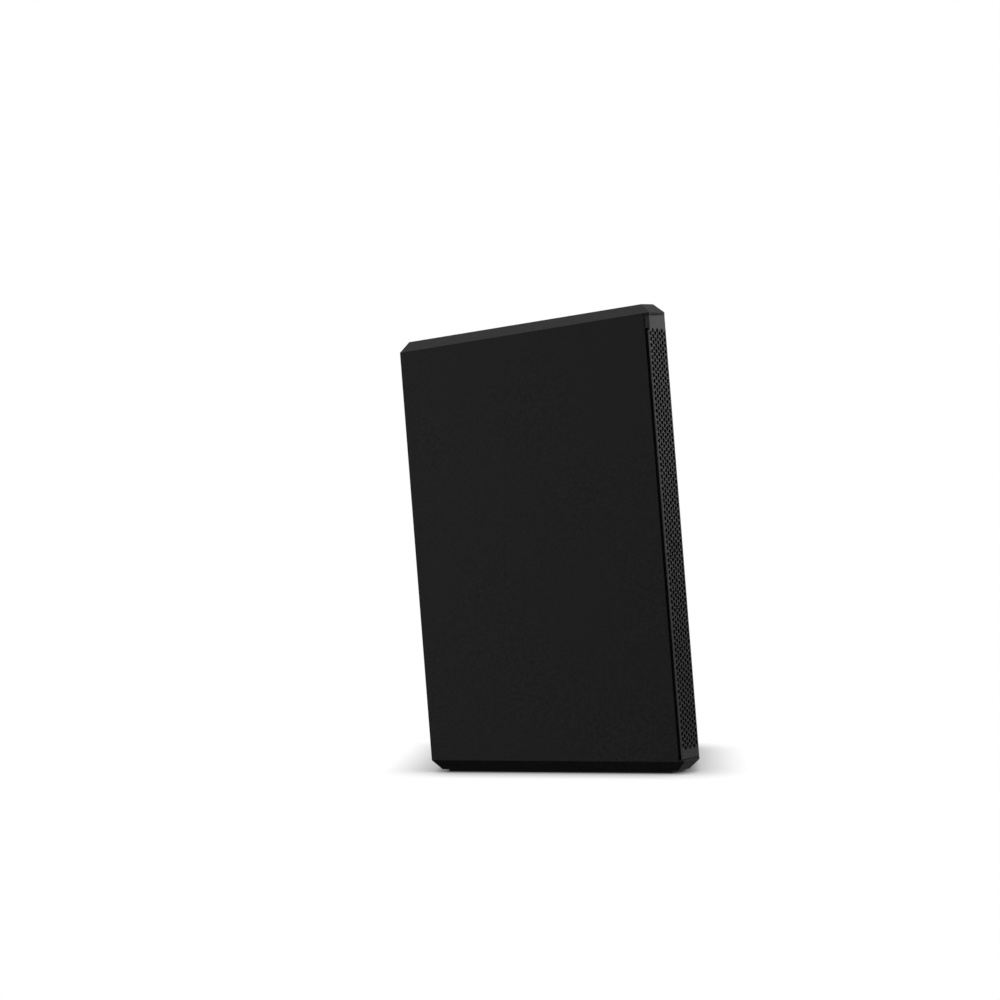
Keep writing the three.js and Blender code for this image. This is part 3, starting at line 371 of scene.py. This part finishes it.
def polyester_wadding():
    surface = Surface("polyester_wadding", 1.0, specular=0.1)
    fibres = surface.noise(160, detail=6.0, vector=surface.stretched((1, 0.3, 1)))
    tufts = surface.noise(25, detail=3.0)
    raised = surface.mixed(tufts, (0.5, 0.5, 0.48), (0.66, 0.66, 0.64))
    # The lower fibres are painted a darker grey than the raised ones: painted shade between the fibres;
    # the tufts' lighter and darker patches are the wadding's own uneven tone.
    surface.colour(surface.mixed(fibres, (0.36, 0.36, 0.34), raised))
    surface.bump(fibres, 1.2 * MM)
    return surface.material


def brushed(name, colour, roughness):
    surface = Surface(name, roughness, metallic=0.9)
    lines = surface.noise(900, detail=3.0, vector=surface.stretched((1, 1, 0.06)))
    surface.colour(surface.mixed(lines, shade(colour, 0.85), shade(colour, 1.1)))
    surface.roughness(surface.ramped(lines, 0, 1, roughness - 0.08, roughness + 0.1))
    surface.bump(lines, 0.02 * MM)
    return surface.material


def solder_mask():
    surface = Surface("solder_mask", 0.35)
    tracks = surface.node("ShaderNodeTexBrick", Vector=surface.coordinates, Scale=160.0)
    tracks.inputs["Mortar Size"].default_value = 0.05
    speckle = surface.noise(900, detail=2.0)
    mask = surface.mixed(speckle, (0.012, 0.075, 0.03), (0.018, 0.1, 0.042))
    surface.colour(surface.mixed(tracks.outputs["Fac"], mask, (0.03, 0.16, 0.07)))
    surface.bump(tracks.outputs["Fac"], 0.04 * MM)
    return surface.material


def tape_wrap():
    surface = Surface("varnished_tape", 0.3)
    turns = surface.node("ShaderNodeTexWave", Vector=surface.coordinates, Scale=90.0, Distortion=2.0)
    turns.bands_direction = "DIAGONAL"
    edge = surface.ramped(turns.outputs["Fac"], 0.2, 0.9)
    surface.colour(surface.mixed(edge, (0.3, 0.13, 0.02), (0.5, 0.27, 0.06)))
    surface.bump(edge, 0.1 * MM)
    return surface.material


def pressed_pulp():
    surface = Surface("pressed_pulp", 0.82, specular=0.3)
    fibres = surface.noise(420, detail=5.0, vector=surface.stretched((1, 0.4, 1)))
    surface.colour(surface.mixed(fibres, (0.012, 0.012, 0.012), (0.026, 0.026, 0.027)))
    surface.bump(fibres, 0.12 * MM)
    return surface.material


def tinted_lens():
    surface = Surface("tinted_lens", 0.15)
    cloud = surface.noise(700, detail=1.0)
    surface.colour(surface.mixed(cloud, (0.2, 0.5, 0.26), (0.3, 0.62, 0.36)))
    surface.shader.inputs["Emission Color"].default_value = (0.25, 0.8, 0.35, 1)
    surface.shader.inputs["Emission Strength"].default_value = 0.3
    surface.bump(cloud, 0.02 * MM)
    return surface.material


MATERIALS = {
    "cabinet_paint": cabinet_paint(),
    "baffle_board": plywood(),
    "grille_steel": grained("powder_coat", (0.0235, 0.0235, 0.0245), 0.5, 1400, 0.03 * MM),
    "acoustic_foam": foam(),
    "black_steel": grained("satin_powder_coat", (0.018, 0.018, 0.019), 0.45, 1100, 0.03 * MM),
    "screw_steel": grained("black_oxide", (0.02, 0.02, 0.021), 0.38, 1600, 0.02 * MM, metallic=0.7),
    "ferrite": grained("ground_ferrite", (0.05, 0.05, 0.054), 0.6, 700, 0.05 * MM),
    "rubber": grained("matt_rubber", (0.012, 0.012, 0.012), 0.85, 900, 0.05 * MM, specular=0.3),
    "cone_paper": pressed_pulp(),
    "coil_metal": brushed("spun_metal", (0.62, 0.62, 0.64), 0.32),
    "spider_cloth": woven_cloth(),
    "zinc_steel": brushed("zinc_plate", (0.5, 0.51, 0.52), 0.38),
    "black_plastic": grained("moulded_grain", (0.014, 0.014, 0.015), 0.52, 1300, 0.04 * MM),
    "rocker_plastic": grained("smooth_moulding", (0.011, 0.011, 0.012), 0.42, 900, 0.006 * MM),
    "wadding": polyester_wadding(),
    "circuit_board": solder_mask(),
    "capacitor_sleeve": grained("shrink_sleeve", (0.012, 0.018, 0.05), 0.3, 500, 0.02 * MM),
    "transformer_wrap": tape_wrap(),
    "heat_sink_metal": brushed("black_anodising", (0.03, 0.03, 0.033), 0.4),
    "status_lens": tinted_lens(),
    "lead_sleeve": grained("cable_sleeve", (0.015, 0.015, 0.016), 0.5, 700, 0.05 * MM),
}
PRINT = grained("printed_marks", (0.5, 0.5, 0.5), 0.6, 900, 0.01 * MM, spread=0.1)


def finish_nodes():
    """Every carried-over CAD node gets its slot's material and its edges broken."""
    for part in frame["record"]["subparts"]:
        node = nodes[part["node"]]
        node.data.materials.clear()
        node.data.materials.append(MATERIALS[part["material_slot"]])
        flatten = node.modifiers.new("flatten", "DECIMATE")
        flatten.decimate_type = "DISSOLVE"
        flatten.angle_limit = math.radians(0.5)
        smallest = min(high - low for low, high in zip(*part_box(part["node"])))
        bevel = node.modifiers.new("edges", "BEVEL")
        bevel.width = min(0.35 * MM, smallest * 0.12)
        bevel.segments = 2
        bevel.limit_method = "ANGLE"
        bevel.angle_limit = math.radians(32)


finish_nodes()


# ---- making pieces --------------------------------------------------------------------------
def add_piece(name, mesh, slot, body, replaces=(), material=None):
    """A finished mesh, given in the upright frame, becomes a piece that rides on a body."""
    mesh.transform(UPRIGHT)
    mesh.validate()
    piece = bpy.data.objects.new(name, mesh)
    bpy.context.scene.collection.objects.link(piece)
    mesh.materials.append(material or MATERIALS[slot])
    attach(piece, body)
    if replaces:
        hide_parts(*replaces)


def mesh_from(name, vertices, faces):
    mesh = bpy.data.meshes.new(name)
    mesh.from_pydata(vertices, [], faces)
    return mesh


def bevelled_prism(name, outline, x_range, width, chosen):
    """A slab whose outline lies in the YZ plane; the edges that chosen() picks are rounded."""
    shape = bmesh.new()
    rings = [[shape.verts.new((x, y, z)) for y, z in outline] for x in x_range]
    shape.faces.new(rings[0])
    shape.faces.new(list(reversed(rings[1])))
    for i in range(len(outline)):
        j = (i + 1) % len(outline)
        shape.faces.new((rings[0][j], rings[0][i], rings[1][i], rings[1][j]))
    bmesh.ops.recalc_face_normals(shape, faces=shape.faces)
    edges = [edge for edge in shape.edges if chosen(edge)]
    bmesh.ops.bevel(shape, geom=edges, offset=width, segments=3, profile=0.5, affect="EDGES")
    mesh = bpy.data.meshes.new(name)
    shape.to_mesh(mesh)
    shape.free()
    return mesh


# ---- side boards ----------------------------------------------------------------------------
def side_boards():
    """Each board closes on the caps' chamfer lines; only its upright edges are rounded."""
    hairline = 0.03 * MM
    outline = [
        (SIDE_SETBACK, SIDE_SETBACK * math.tan(TAPER) + hairline),
        (BOARD_BACK, BOARD_BACK * math.tan(TAPER) + hairline),
        (BOARD_BACK, FRONT_HEIGHT - BOARD_BACK * math.tan(TAPER) - hairline),
        (SIDE_SETBACK, FRONT_HEIGHT - SIDE_SETBACK * math.tan(TAPER) - hairline),
    ]

    def upright_edge(edge):
        low, high = edge.verts
        return abs(low.co.y - high.co.y) < MM and abs(low.co.x - high.co.x) < MM

    for label, side in (("left", -1), ("right", 1)):
        x_range = sorted((side * HALF_WIDTH, side * (HALF_WIDTH - BOARD)))
        mesh = bevelled_prism(f"side_board_{label}", outline, x_range, 0.5 * MM, upright_edge)
        add_piece(f"side_board_{label}", mesh, "cabinet_paint", "cabinet", [f"side_panel_{label}"])


# ---- perforated grille ----------------------------------------------------------------------
COLUMNS = 61
ROWS = 71
FIRST_ROW_Z = 10.9 * MM
LAST_ROW_Z = 362.1 * MM
PITCH = (LAST_ROW_Z - FIRST_ROW_Z) / (ROWS - 1)
HOLE_RADIUS = 2.14 * MM             # these octagons are about as open as round 4 mm holes
HOLE_SIDES = 8
EDGE_MARGIN = 3.1 * MM              # from the sheet's edge to the first column's centres
FOLD_RADIUS = 2.0 * MM
TAB_RADIUS = 4.2 * MM
TAB_NOTCH = 2.0 * MM                # the tab starts this far above the last holes' cells
TAB_BACK = 3.8 * MM                 # how far back the tab reaches, behind the caps' corners
TAB_SHORTEST = 0.05 * MM
SHEET_EDGE = 0.15 * MM              # the sheet's plain edge, as a developed length
ARC_STEPS = 6

# A developed length runs along the sheet's plan, from the left edge: facet, fold, front, fold, facet.
grille_edge = Vector((-HALF_WIDTH + GAP, GRILLE_EDGE_Y))
facet_run = (GRILLE_EDGE_Y - GRILLE_FRONT_Y) / math.sin(FACET_ANGLE)
fold_x = grille_edge.x + facet_run * math.cos(FACET_ANGLE)
flat_run = -2 * fold_x
sheet_length = 2 * facet_run + flat_run
column_step = (sheet_length - 2 * EDGE_MARGIN) / (COLUMNS - 1)
third = column_step / 3             # half the side of a hole's hexagonal cell


def walked(start, heading, steps):
    """Points and headings along a run of straights and arcs: each step is a length and a turn."""
    place, marks = start.copy(), [(0.0, start.copy(), heading)]
    for length, turn in steps:
        pieces = ARC_STEPS if turn else 1
        for _ in range(pieces):
            heading += turn / pieces / 2
            place = place + Vector((math.cos(heading), math.sin(heading))) * length / pieces
            heading += turn / pieces / 2
            marks.append((marks[-1][0] + length / pieces, place.copy(), heading))
    return marks


trim = FOLD_RADIUS * math.tan(FACET_ANGLE / 2)
arc = FOLD_RADIUS * FACET_ANGLE
sheet_marks = walked(grille_edge, -FACET_ANGLE, [
    (facet_run - trim, 0),
    (arc, FACET_ANGLE),
    (flat_run - 2 * trim, 0),
    (arc, FACET_ANGLE),
    (facet_run - trim, 0),
])
tab_trim = TAB_RADIUS * math.tan((math.pi / 2 - FACET_ANGLE) / 2)


def on_sheet(along, depth):
    """The sheet's plan at a developed length, depth below its outer face."""
    for (start, p, heading), (end, q, next_heading) in zip(sheet_marks, sheet_marks[1:]):
        if along <= end or end == sheet_marks[-1][0]:
            share = (along - start) / (end - start)
            angle = heading + (next_heading - heading) * min(1, max(0, share))
            place = p.lerp(q, share)
            return place + Vector((-math.sin(angle), math.cos(angle))) * depth
    return None


def sheet_end(plan_y, top):
    """The sheet's upper or lower edge runs parallel to the cap above or below it."""
    slope = plan_y * math.tan(TAPER)
    return FRONT_HEIGHT - GRILLE_END_GAP - slope if top else GRILLE_END_GAP + slope


class Sheet:
    """The grille's sheet: each place holds an outer and an inner plan point and a height."""

    def __init__(self):
        self.places = []
        self.faces = []
        self.known = {}

    def vertex(self, key, outer, inner, z):
        if key not in self.known:
            self.known[key] = len(self.places)
            self.places.append((outer, inner, z))
        return self.known[key]

    def at(self, along, z, key=None):
        key = key or (round(along / column_step * 300), round(z / PITCH * 200))    # shared by cells
        return self.vertex(key, on_sheet(along, 0), on_sheet(along, GRILLE_SHEET), z)

    def thickened(self, name):
        count = len(self.places)
        vertices = [(p.x, p.y, z) for p, _, z in self.places] + [(q.x, q.y, z) for _, q, z in self.places]
        faces = list(self.faces) + [tuple(v + count for v in reversed(face)) for face in self.faces]
        edges = dict.fromkeys(pair for face in self.faces for pair in zip(face, face[1:] + face[:1]))
        rim = [(a, b) for a, b in edges if (b, a) not in edges]
        faces += [(b, a, a + count, b + count) for a, b in rim]
        return mesh_from(name, vertices, faces)


def next_angle(angles, index):
    """The angle after an index, which counts on past a full turn; none is left after one turn."""
    if index >= len(angles):
        return math.inf
    turns, place = divmod(index + 1, len(angles))
    return angles[place] + 2 * math.pi * turns


def ring_between(inner_angles, outer_angles):
    """Triangles that join two rings of points, as ('inner' or 'outer', index) corners."""
    inner_count, outer_count = len(inner_angles), len(outer_angles)
    i = j = 0
    corners = []
    while i < inner_count or j < outer_count:
        a = ("inner", i % inner_count)
        b = ("outer", j % outer_count)
        if next_angle(inner_angles, i) <= next_angle(outer_angles, j):
            corners.append((a, b, ("inner", (i + 1) % inner_count)))
            i += 1
        else:
            corners.append((a, b, ("outer", (j + 1) % outer_count)))
            j += 1
    return corners


def row_height(column, row):
    """Odd columns hold the outermost holes; even ones sit half a pitch further in."""
    return FIRST_ROW_Z + row * PITCH + (0 if column % 2 else PITCH / 2)


def perforated_grille():
    sheet = Sheet()
    hole_angles = [2 * math.pi * k / HOLE_SIDES for k in range(HOLE_SIDES)]
    cell_offsets = [(2 * third, 0), (third, PITCH / 2), (-third, PITCH / 2),
                    (-2 * third, 0), (-third, -PITCH / 2), (third, -PITCH / 2)]
    cell_angles = [math.atan2(z, x) % (2 * math.pi) for x, z in cell_offsets]
    triangles = ring_between(hole_angles, cell_angles)
    for column in range(COLUMNS):
        along = EDGE_MARGIN + column * column_step
        for row in range(ROWS if column % 2 else ROWS - 1):
            z = row_height(column, row)
            ring = {}
            for k, angle in enumerate(hole_angles):
                u, v = along + HOLE_RADIUS * math.cos(angle), z + HOLE_RADIUS * math.sin(angle)
                ring["inner", k] = sheet.at(u, v, ("hole", column, row, k))
            for k, (du, dv) in enumerate(cell_offsets):
                ring["outer", k] = sheet.at(along + du, z + dv)
            for corners in triangles:
                sheet.faces.append(tuple(ring[c] for c in corners))
    plain_edges(sheet)
    end_strip(sheet, top=True)
    end_strip(sheet, top=False)
    mesh = sheet.thickened("perforated_grille")
    add_piece("perforated_grille", mesh, "grille_steel", "cabinet", ["grille"])


def plain_edges(sheet):
    """A narrow solid band closes the field of holes along each upright edge of the sheet."""
    for column, side in ((0, -1), (COLUMNS - 1, 1)):
        along = EDGE_MARGIN + column * column_step
        edge = SHEET_EDGE if side < 0 else sheet_length - SHEET_EDGE
        for row in range(ROWS - 1):
            z = row_height(column, row)
            face = [
                edge_vertex(sheet, edge, z - PITCH / 2, side, row),
                sheet.at(along + side * third, z - PITCH / 2),
                sheet.at(along + side * 2 * third, z),
                sheet.at(along + side * third, z + PITCH / 2),
                edge_vertex(sheet, edge, z + PITCH / 2, side, row + 1),
            ]
            sheet.faces.append(tuple(face if side < 0 else reversed(face)))


def edge_vertex(sheet, edge, z, side, row):
    return sheet.at(edge, z, ("edge", side, row))


def end_strip(sheet, top):
    """The unperforated end: from the last holes' cells to the sheet's edge."""
    chain = []                      # the cells' outer corners, from left to right
    for column in range(COLUMNS):
        along = EDGE_MARGIN + column * column_step
        last = ROWS - 1 if column % 2 else ROWS - 2
        z = row_height(column, last) + PITCH / 2 if top else row_height(column, 0) - PITCH / 2
        chain += [(along - third, z), (along + third, z)]
    inner_row = [sheet.at(along, z) for along, z in chain]
    outer_row = [end_vertex(sheet, index, top) for index in inner_row]
    if top:
        inner_row, outer_row = inner_row[1:-1], outer_row[1:-1]
        folded_tab(sheet, chain[:2], -1)
        folded_tab(sheet, chain[-2:], 1)
    else:
        edges = [edge_vertex(sheet, 0, 0, side, 0) for side in (-1, 1)]
        inner_row = [edges[0]] + inner_row + [edges[1]]
        ends = [end_vertex(sheet, index, top) for index in edges]
        outer_row = [ends[0]] + outer_row + [ends[1]]
    for a, b, c, d in zip(inner_row, inner_row[1:], outer_row[1:], outer_row):
        sheet.faces.append((a, b, c, d) if top else (d, c, b, a))


def end_vertex(sheet, index, top):
    """The vertex straight above or below another, on the sheet's end."""
    outer, inner, _ = sheet.places[index]
    return sheet.vertex(("end", top, index), outer, inner, sheet_end(outer.y, top))


def folded_tab(sheet, chain, side):
    """At the top corners the strip runs on round a soft bend, back towards the side board."""
    start = on_sheet(tab_trim, 0)
    turn = math.pi / 2 - FACET_ANGLE
    straight = max(TAB_SHORTEST, TAB_BACK - GRILLE_EDGE_Y - tab_trim)
    marks = walked(start, math.pi - FACET_ANGLE, [(TAB_RADIUS * turn, -turn), (straight, 0)])
    low_row, high_row = [], []
    for k, (_, place, heading) in enumerate(marks):
        inner = place + Vector((math.sin(heading), -math.cos(heading))) * GRILLE_SHEET
        plan = [Vector((-side * p.x, p.y)) for p in (place, inner)]
        low_row.append(sheet.vertex(("tab", side, k), *plan, chain[0][1] + TAB_NOTCH))
        high_row.append(sheet.vertex(("tab top", side, k), *plan, sheet_end(place.y, True)))
    cell_corners = [sheet.at(along, z) for along, z in chain]
    far_corner = cell_corners[1 if side < 0 else 0]
    near_corner = cell_corners[0 if side < 0 else 1]
    faces = [[near_corner, far_corner, end_vertex(sheet, far_corner, True), high_row[0], low_row[0]]]
    faces += [[low_row[i + 1], low_row[i], high_row[i], high_row[i + 1]] for i in range(len(marks) - 1)]
    for face in faces:
        sheet.faces.append(tuple(face if side < 0 else reversed(face)))


def cap_lips():
    """A square lip along the front of each cap closes on the grille's end."""
    hairline = 0.02 * MM
    half = HALF_WIDTH - hairline
    reach = CAP_FACET_DEPTH / math.tan(CAP_FACET_ANGLE)
    left = [(-half, SIDE_SETBACK - GAP), (-half, 0), (reach - half, -CAP_FACET_DEPTH)]
    outline = [Vector(p) for p in left + [(-x, y) for x, y in reversed(left)]]
    for label, top in (("top", True), ("bottom", False)):
        plan = outline + [inset_corner(outline, i) for i in reversed(range(len(outline)))]
        count = len(plan)
        vertices = []
        for height in (0, LIP_HEIGHT):
            for p in plan:
                z = p.y * math.tan(TAPER) + height
                vertices.append((p.x, p.y, FRONT_HEIGHT - z if top else z))
        faces = [(i, (i + 1) % count, count + (i + 1) % count, count + i) for i in range(count)]
        for i in range(len(outline) - 1):
            j = count - 1 - i       # the inner corner beside outer corner i
            faces += [(i + 1, i, j, j - 1), (count + i, count + i + 1, count + j - 1, count + j)]
        mesh = mesh_from(f"{label}_lip", vertices, faces)
        if top:
            mesh.flip_normals()
        add_piece(f"{label}_lip", mesh, "cabinet_paint", "cabinet")


def inset_corner(outline, i):
    """A corner of an open outline, moved in by the lip's thickness."""
    before = outline[max(0, i - 1)]
    after = outline[min(len(outline) - 1, i + 1)]
    first = (outline[i] - before).normalized() if i else (after - outline[i]).normalized()
    second = (after - outline[i]).normalized() if i < len(outline) - 1 else first
    across = Vector((-first.y - second.y, first.x + second.x))
    return outline[i] + across * (LIP_THICKNESS / (1 + first.dot(second)))


def foam_backing():
    """Open-cell foam bonded behind the whole perforated field."""
    depth = GRILLE_SHEET + FOAM_GAP
    folds = [along for along, _, _ in sheet_marks[1:-1]]
    stops = [FOAM_MARGIN] + folds + [sheet_length - FOAM_MARGIN]
    plan = [on_sheet(along, depth) for along in stops]
    plan += [on_sheet(along, depth + FOAM_THICKNESS) for along in reversed(stops)]
    clearance = GRILLE_END_GAP + FOAM_END_MARGIN
    rings = [[(p.x, p.y, clearance + p.y * math.tan(TAPER)) for p in plan],
             [(p.x, p.y, FRONT_HEIGHT - clearance - p.y * math.tan(TAPER)) for p in plan]]
    count = len(plan)
    faces = [tuple(reversed(range(count))), tuple(range(count, 2 * count))]
    faces += [(i, (i + 1) % count, count + (i + 1) % count, count + i) for i in range(count)]
    mesh = mesh_from("foam_backing", rings[0] + rings[1], faces)
    add_piece("foam_backing", mesh, "acoustic_foam", "cabinet", ["grille_foam"])


# ---- electronics panel ----------------------------------------------------------------------
SCREWS = (("panel_screw", 1, 2.3 * MM), ("woofer_screw", -1, 3.3 * MM))     # name, way out, head depth
INLET_WELL = 18 * MM
BLADES = ((-7 * MM, -2 * MM), (0, 2 * MM), (7 * MM, -2 * MM))
SOCKET_WELL = 11 * MM
CONTACT_CIRCLE = 6.2 * MM
CONTACT_ANGLES = (90, 210, 330)
MARK_CIRCLE = 14 * MM
MARK_COUNT = 11
PRINT_THICKNESS = 0.05 * MM
PRINT_ROOT = 0.2 * MM
PRINTED_LINE = (140 * MM, 24 * MM, 0.5 * MM)        # length, height above the lower row, width
KNOB_SKIRT = 10 * MM
KNOB_GRIP = 9.2 * MM
KNOB_FLUTES = 12


def box_mesh(shape, x_range, y_range, z_range):
    """Adds a box, in the upright frame, to a mesh being built."""
    size = [high - low for low, high in (x_range, y_range, z_range)]
    centre = [(high + low) / 2 for low, high in (x_range, y_range, z_range)]
    matrix = Matrix.Translation(centre) @ Matrix.Diagonal((*size, 1))
    bmesh.ops.create_cube(shape, size=1, matrix=matrix)


def lathe_ring(shape, radius, x, y, z, sides):
    """One ring of a turned body; a radius of 0 makes a single point."""
    if radius == 0:
        return [shape.verts.new((x, y, z))]
    ring = []
    for k in range(sides):
        angle = 2 * math.pi * k / sides
        reach = radius(angle) if callable(radius) else radius
        ring.append(shape.verts.new((x + reach * math.cos(angle), y, z + reach * math.sin(angle))))
    return ring


def lathe(shape, profile, x, z, sides=32):
    """Adds a body turned about Y from (radius, y) points; a radius may depend on the angle."""
    rings = [lathe_ring(shape, radius, x, y, z, sides) for radius, y in profile]
    for first, second in zip(rings, rings[1:]):
        for k in range(sides):
            steps = ((first, k), (first, k + 1), (second, k + 1), (second, k))
            corners = [ring[step % len(ring)] for ring, step in steps]
            shape.faces.new(list(dict.fromkeys(corners)))


def finished_mesh(shape, name, bevel=0.0):
    bmesh.ops.recalc_face_normals(shape, faces=shape.faces)
    if bevel:
        sharp = [edge for edge in shape.edges if edge.calc_face_angle(0) > math.radians(35)]
        bmesh.ops.bevel(shape, geom=sharp, offset=bevel, segments=2, profile=0.5, affect="EDGES")
    mesh = bpy.data.meshes.new(name)
    shape.to_mesh(mesh)
    shape.free()
    return mesh


def hexagon(radius):
    """A hexagonal outline as a radius for every angle."""
    def reach(angle):
        from_flat = (angle + math.pi / 6) % (math.pi / 3) - math.pi / 6
        return radius * math.cos(math.pi / 6) / math.cos(from_flat)
    return reach


def upright_box(name):
    """A node's box in the upright frame: its lowest and highest corners."""
    node = nodes[name]
    to_upright = UPRIGHT.inverted() @ node.matrix_world
    points = [to_upright @ vertex.co for vertex in node.data.vertices]
    low, high = ([extreme(p[i] for p in points) for i in range(3)] for extreme in (min, max))
    return Vector(low), Vector(high)


def upright_centre(name):
    """The middle of a node's box, seen from the front: x and z."""
    low, high = upright_box(name)
    return (low.x + high.x) / 2, (low.z + high.z) / 2


def screw_profile(head, top, tip, outward, head_depth):
    """A domed head with a hexagonal recess, then a shank: from the recess's floor to the tip."""
    def below(distance):
        return top - outward * distance

    shank = head * 0.47
    return [
        (0, below(1.5 * MM)),
        (hexagon(1.45 * MM), below(1.4 * MM)),
        (hexagon(1.55 * MM), below(0.12 * MM)),
        (head * 0.52, top),
        (head * 0.78, below(0.35 * MM)),
        (head * 0.94, below(0.9 * MM)),
        (head, below(1.5 * MM)),
        (head, below(head_depth)),
        (shank, below(head_depth)),
        (shank, tip + outward * 1.5 * MM),
        (0, tip),
    ]


def socket_screws():
    """Domed screws with a hexagonal recess, on the panel and round the woofer."""
    for group, outward, head_depth in SCREWS:
        for number in range(1, 5):
            name = f"{group}_{number}"
            low, high = upright_box(name)
            top, tip = (high.y, low.y) if outward > 0 else (low.y, high.y)
            profile = screw_profile((high.x - low.x) / 2, top, tip, outward, head_depth)
            shape = bmesh.new()
            lathe(shape, profile, *upright_centre(name), sides=24)
            add_piece(f"{name}_head", finished_mesh(shape, name), "screw_steel", "cabinet", [name])


def inlet_blades():
    """Three flat blades stand in the mains inlet's well."""
    x, z = upright_centre("mains_inlet")
    mouth_y = upright_box("mains_inlet")[1].y
    depths = (mouth_y - INLET_WELL - 1 * MM, mouth_y - 5 * MM)
    shape = bmesh.new()
    for dx, dz in BLADES:
        widths = (x + dx - 1 * MM, x + dx + 1 * MM)
        box_mesh(shape, widths, depths, (z + dz - 2 * MM, z + dz + 2 * MM))
    mesh = finished_mesh(shape, "inlet_blades", 0.3 * MM)
    add_piece("inlet_blades", mesh, "zinc_steel", "cabinet")


def contact_profile(floor_y):
    """A hollow sleeve that stands on a socket's floor."""
    return [
        (0, floor_y - 1 * MM),
        (1.5 * MM, floor_y - 1 * MM),
        (1.5 * MM, floor_y + 3.6 * MM),
        (1.3 * MM, floor_y + 3.8 * MM),
        (0.9 * MM, floor_y + 3.8 * MM),
        (0.8 * MM, floor_y + 0.4 * MM),
        (0, floor_y + 0.4 * MM),
    ]


def socket_contacts():
    """Three sleeves round each signal socket's jack, and a release tab at the top of its flange."""
    for name in ("input_socket", "link_socket"):
        high = upright_box(name)[1]
        x, z = upright_centre(name)
        profile = contact_profile(high.y - SOCKET_WELL)
        shape = bmesh.new()
        for angle in map(math.radians, CONTACT_ANGLES):
            centre_x = x + CONTACT_CIRCLE * math.cos(angle)
            lathe(shape, profile, centre_x, z + CONTACT_CIRCLE * math.sin(angle), sides=16)
        add_piece(f"{name}_contacts", finished_mesh(shape, name), "zinc_steel", "cabinet")
        shape = bmesh.new()
        tab_y = (high.y - 0.6 * MM, high.y + 0.9 * MM)
        box_mesh(shape, (x - 3 * MM, x + 3 * MM), tab_y, (high.z - 4.6 * MM, high.z - 1.6 * MM))
        mesh = finished_mesh(shape, name, 0.35 * MM)
        add_piece(f"{name}_release", mesh, "black_plastic", "cabinet")


def level_marks():
    """A ring of printed dots round the level knob, and a line between the panel's two rows."""
    x, z = upright_centre("level_knob")
    face_y = upright_box("amp_panel")[1].y
    root_y, dot_y = face_y - PRINT_ROOT, face_y + PRINT_THICKNESS
    shape = bmesh.new()
    for step in range(MARK_COUNT):
        angle = math.radians(240 - 30 * step)
        radius = (0.85 if step % 5 == 0 else 0.55) * MM
        profile = [(0, root_y), (radius, root_y), (radius, dot_y), (0, dot_y)]
        centre_x = x + MARK_CIRCLE * math.cos(angle)
        lathe(shape, profile, centre_x, z + MARK_CIRCLE * math.sin(angle), sides=16)
    length, above, width = PRINTED_LINE
    line_z = LOWER_ROW_Z + above
    box_mesh(shape, (-length / 2, length / 2), (root_y, face_y + 0.04 * MM), (line_z, line_z + width))
    mesh = finished_mesh(shape, "panel_marks")
    add_piece("panel_marks", mesh, "black_steel", "cabinet", material=PRINT)


def fluted(radius, depth=0.55 * MM):
    """A round outline with soft flutes cut in it, as a radius for every angle."""
    return lambda angle: radius - depth * (0.5 - 0.5 * math.cos(KNOB_FLUTES * angle)) ** 3


def level_knob():
    """A grip with soft flutes, a domed cap, a skirt and an inlaid pointer."""
    low, high = upright_box("level_knob")
    x, z = upright_centre("level_knob")
    base, top = low.y, high.y - 0.4 * MM
    profile = [
        (3.4 * MM, base),
        (KNOB_SKIRT, base),
        (KNOB_SKIRT, base + 1.6 * MM),
        (KNOB_SKIRT - 0.4 * MM, base + 2 * MM),
        (fluted(KNOB_GRIP), base + 2.1 * MM),
        (fluted(KNOB_GRIP - 0.2 * MM), base + 2.6 * MM),
        (fluted(KNOB_GRIP - 0.5 * MM), top - 1 * MM),
        (fluted(KNOB_GRIP - 0.8 * MM), top - 0.4 * MM),
        (7.8 * MM, top - 0.05 * MM),
        (6.8 * MM, top),
        (0, top - 0.35 * MM),
    ]
    shape = bmesh.new()
    lathe(shape, profile, x, z, sides=96)
    mesh = finished_mesh(shape, "knob_grip")
    add_piece("knob_grip", mesh, "black_plastic", "level_knob", ["level_knob"])
    shape = bmesh.new()
    pointer_y = (top - 1.4 * MM, top + 0.2 * MM)
    box_mesh(shape, (x - 0.6 * MM, x + 0.6 * MM), pointer_y, (z + 2.2 * MM, z + 8.1 * MM))
    mesh = finished_mesh(shape, "knob_pointer", 0.15 * MM)
    add_piece("knob_pointer", mesh, "black_plastic", "level_knob", material=PRINT)


side_boards()
perforated_grille()
foam_backing()
cap_lips()
socket_screws()
inlet_blades()
socket_contacts()
level_marks()
level_knob()
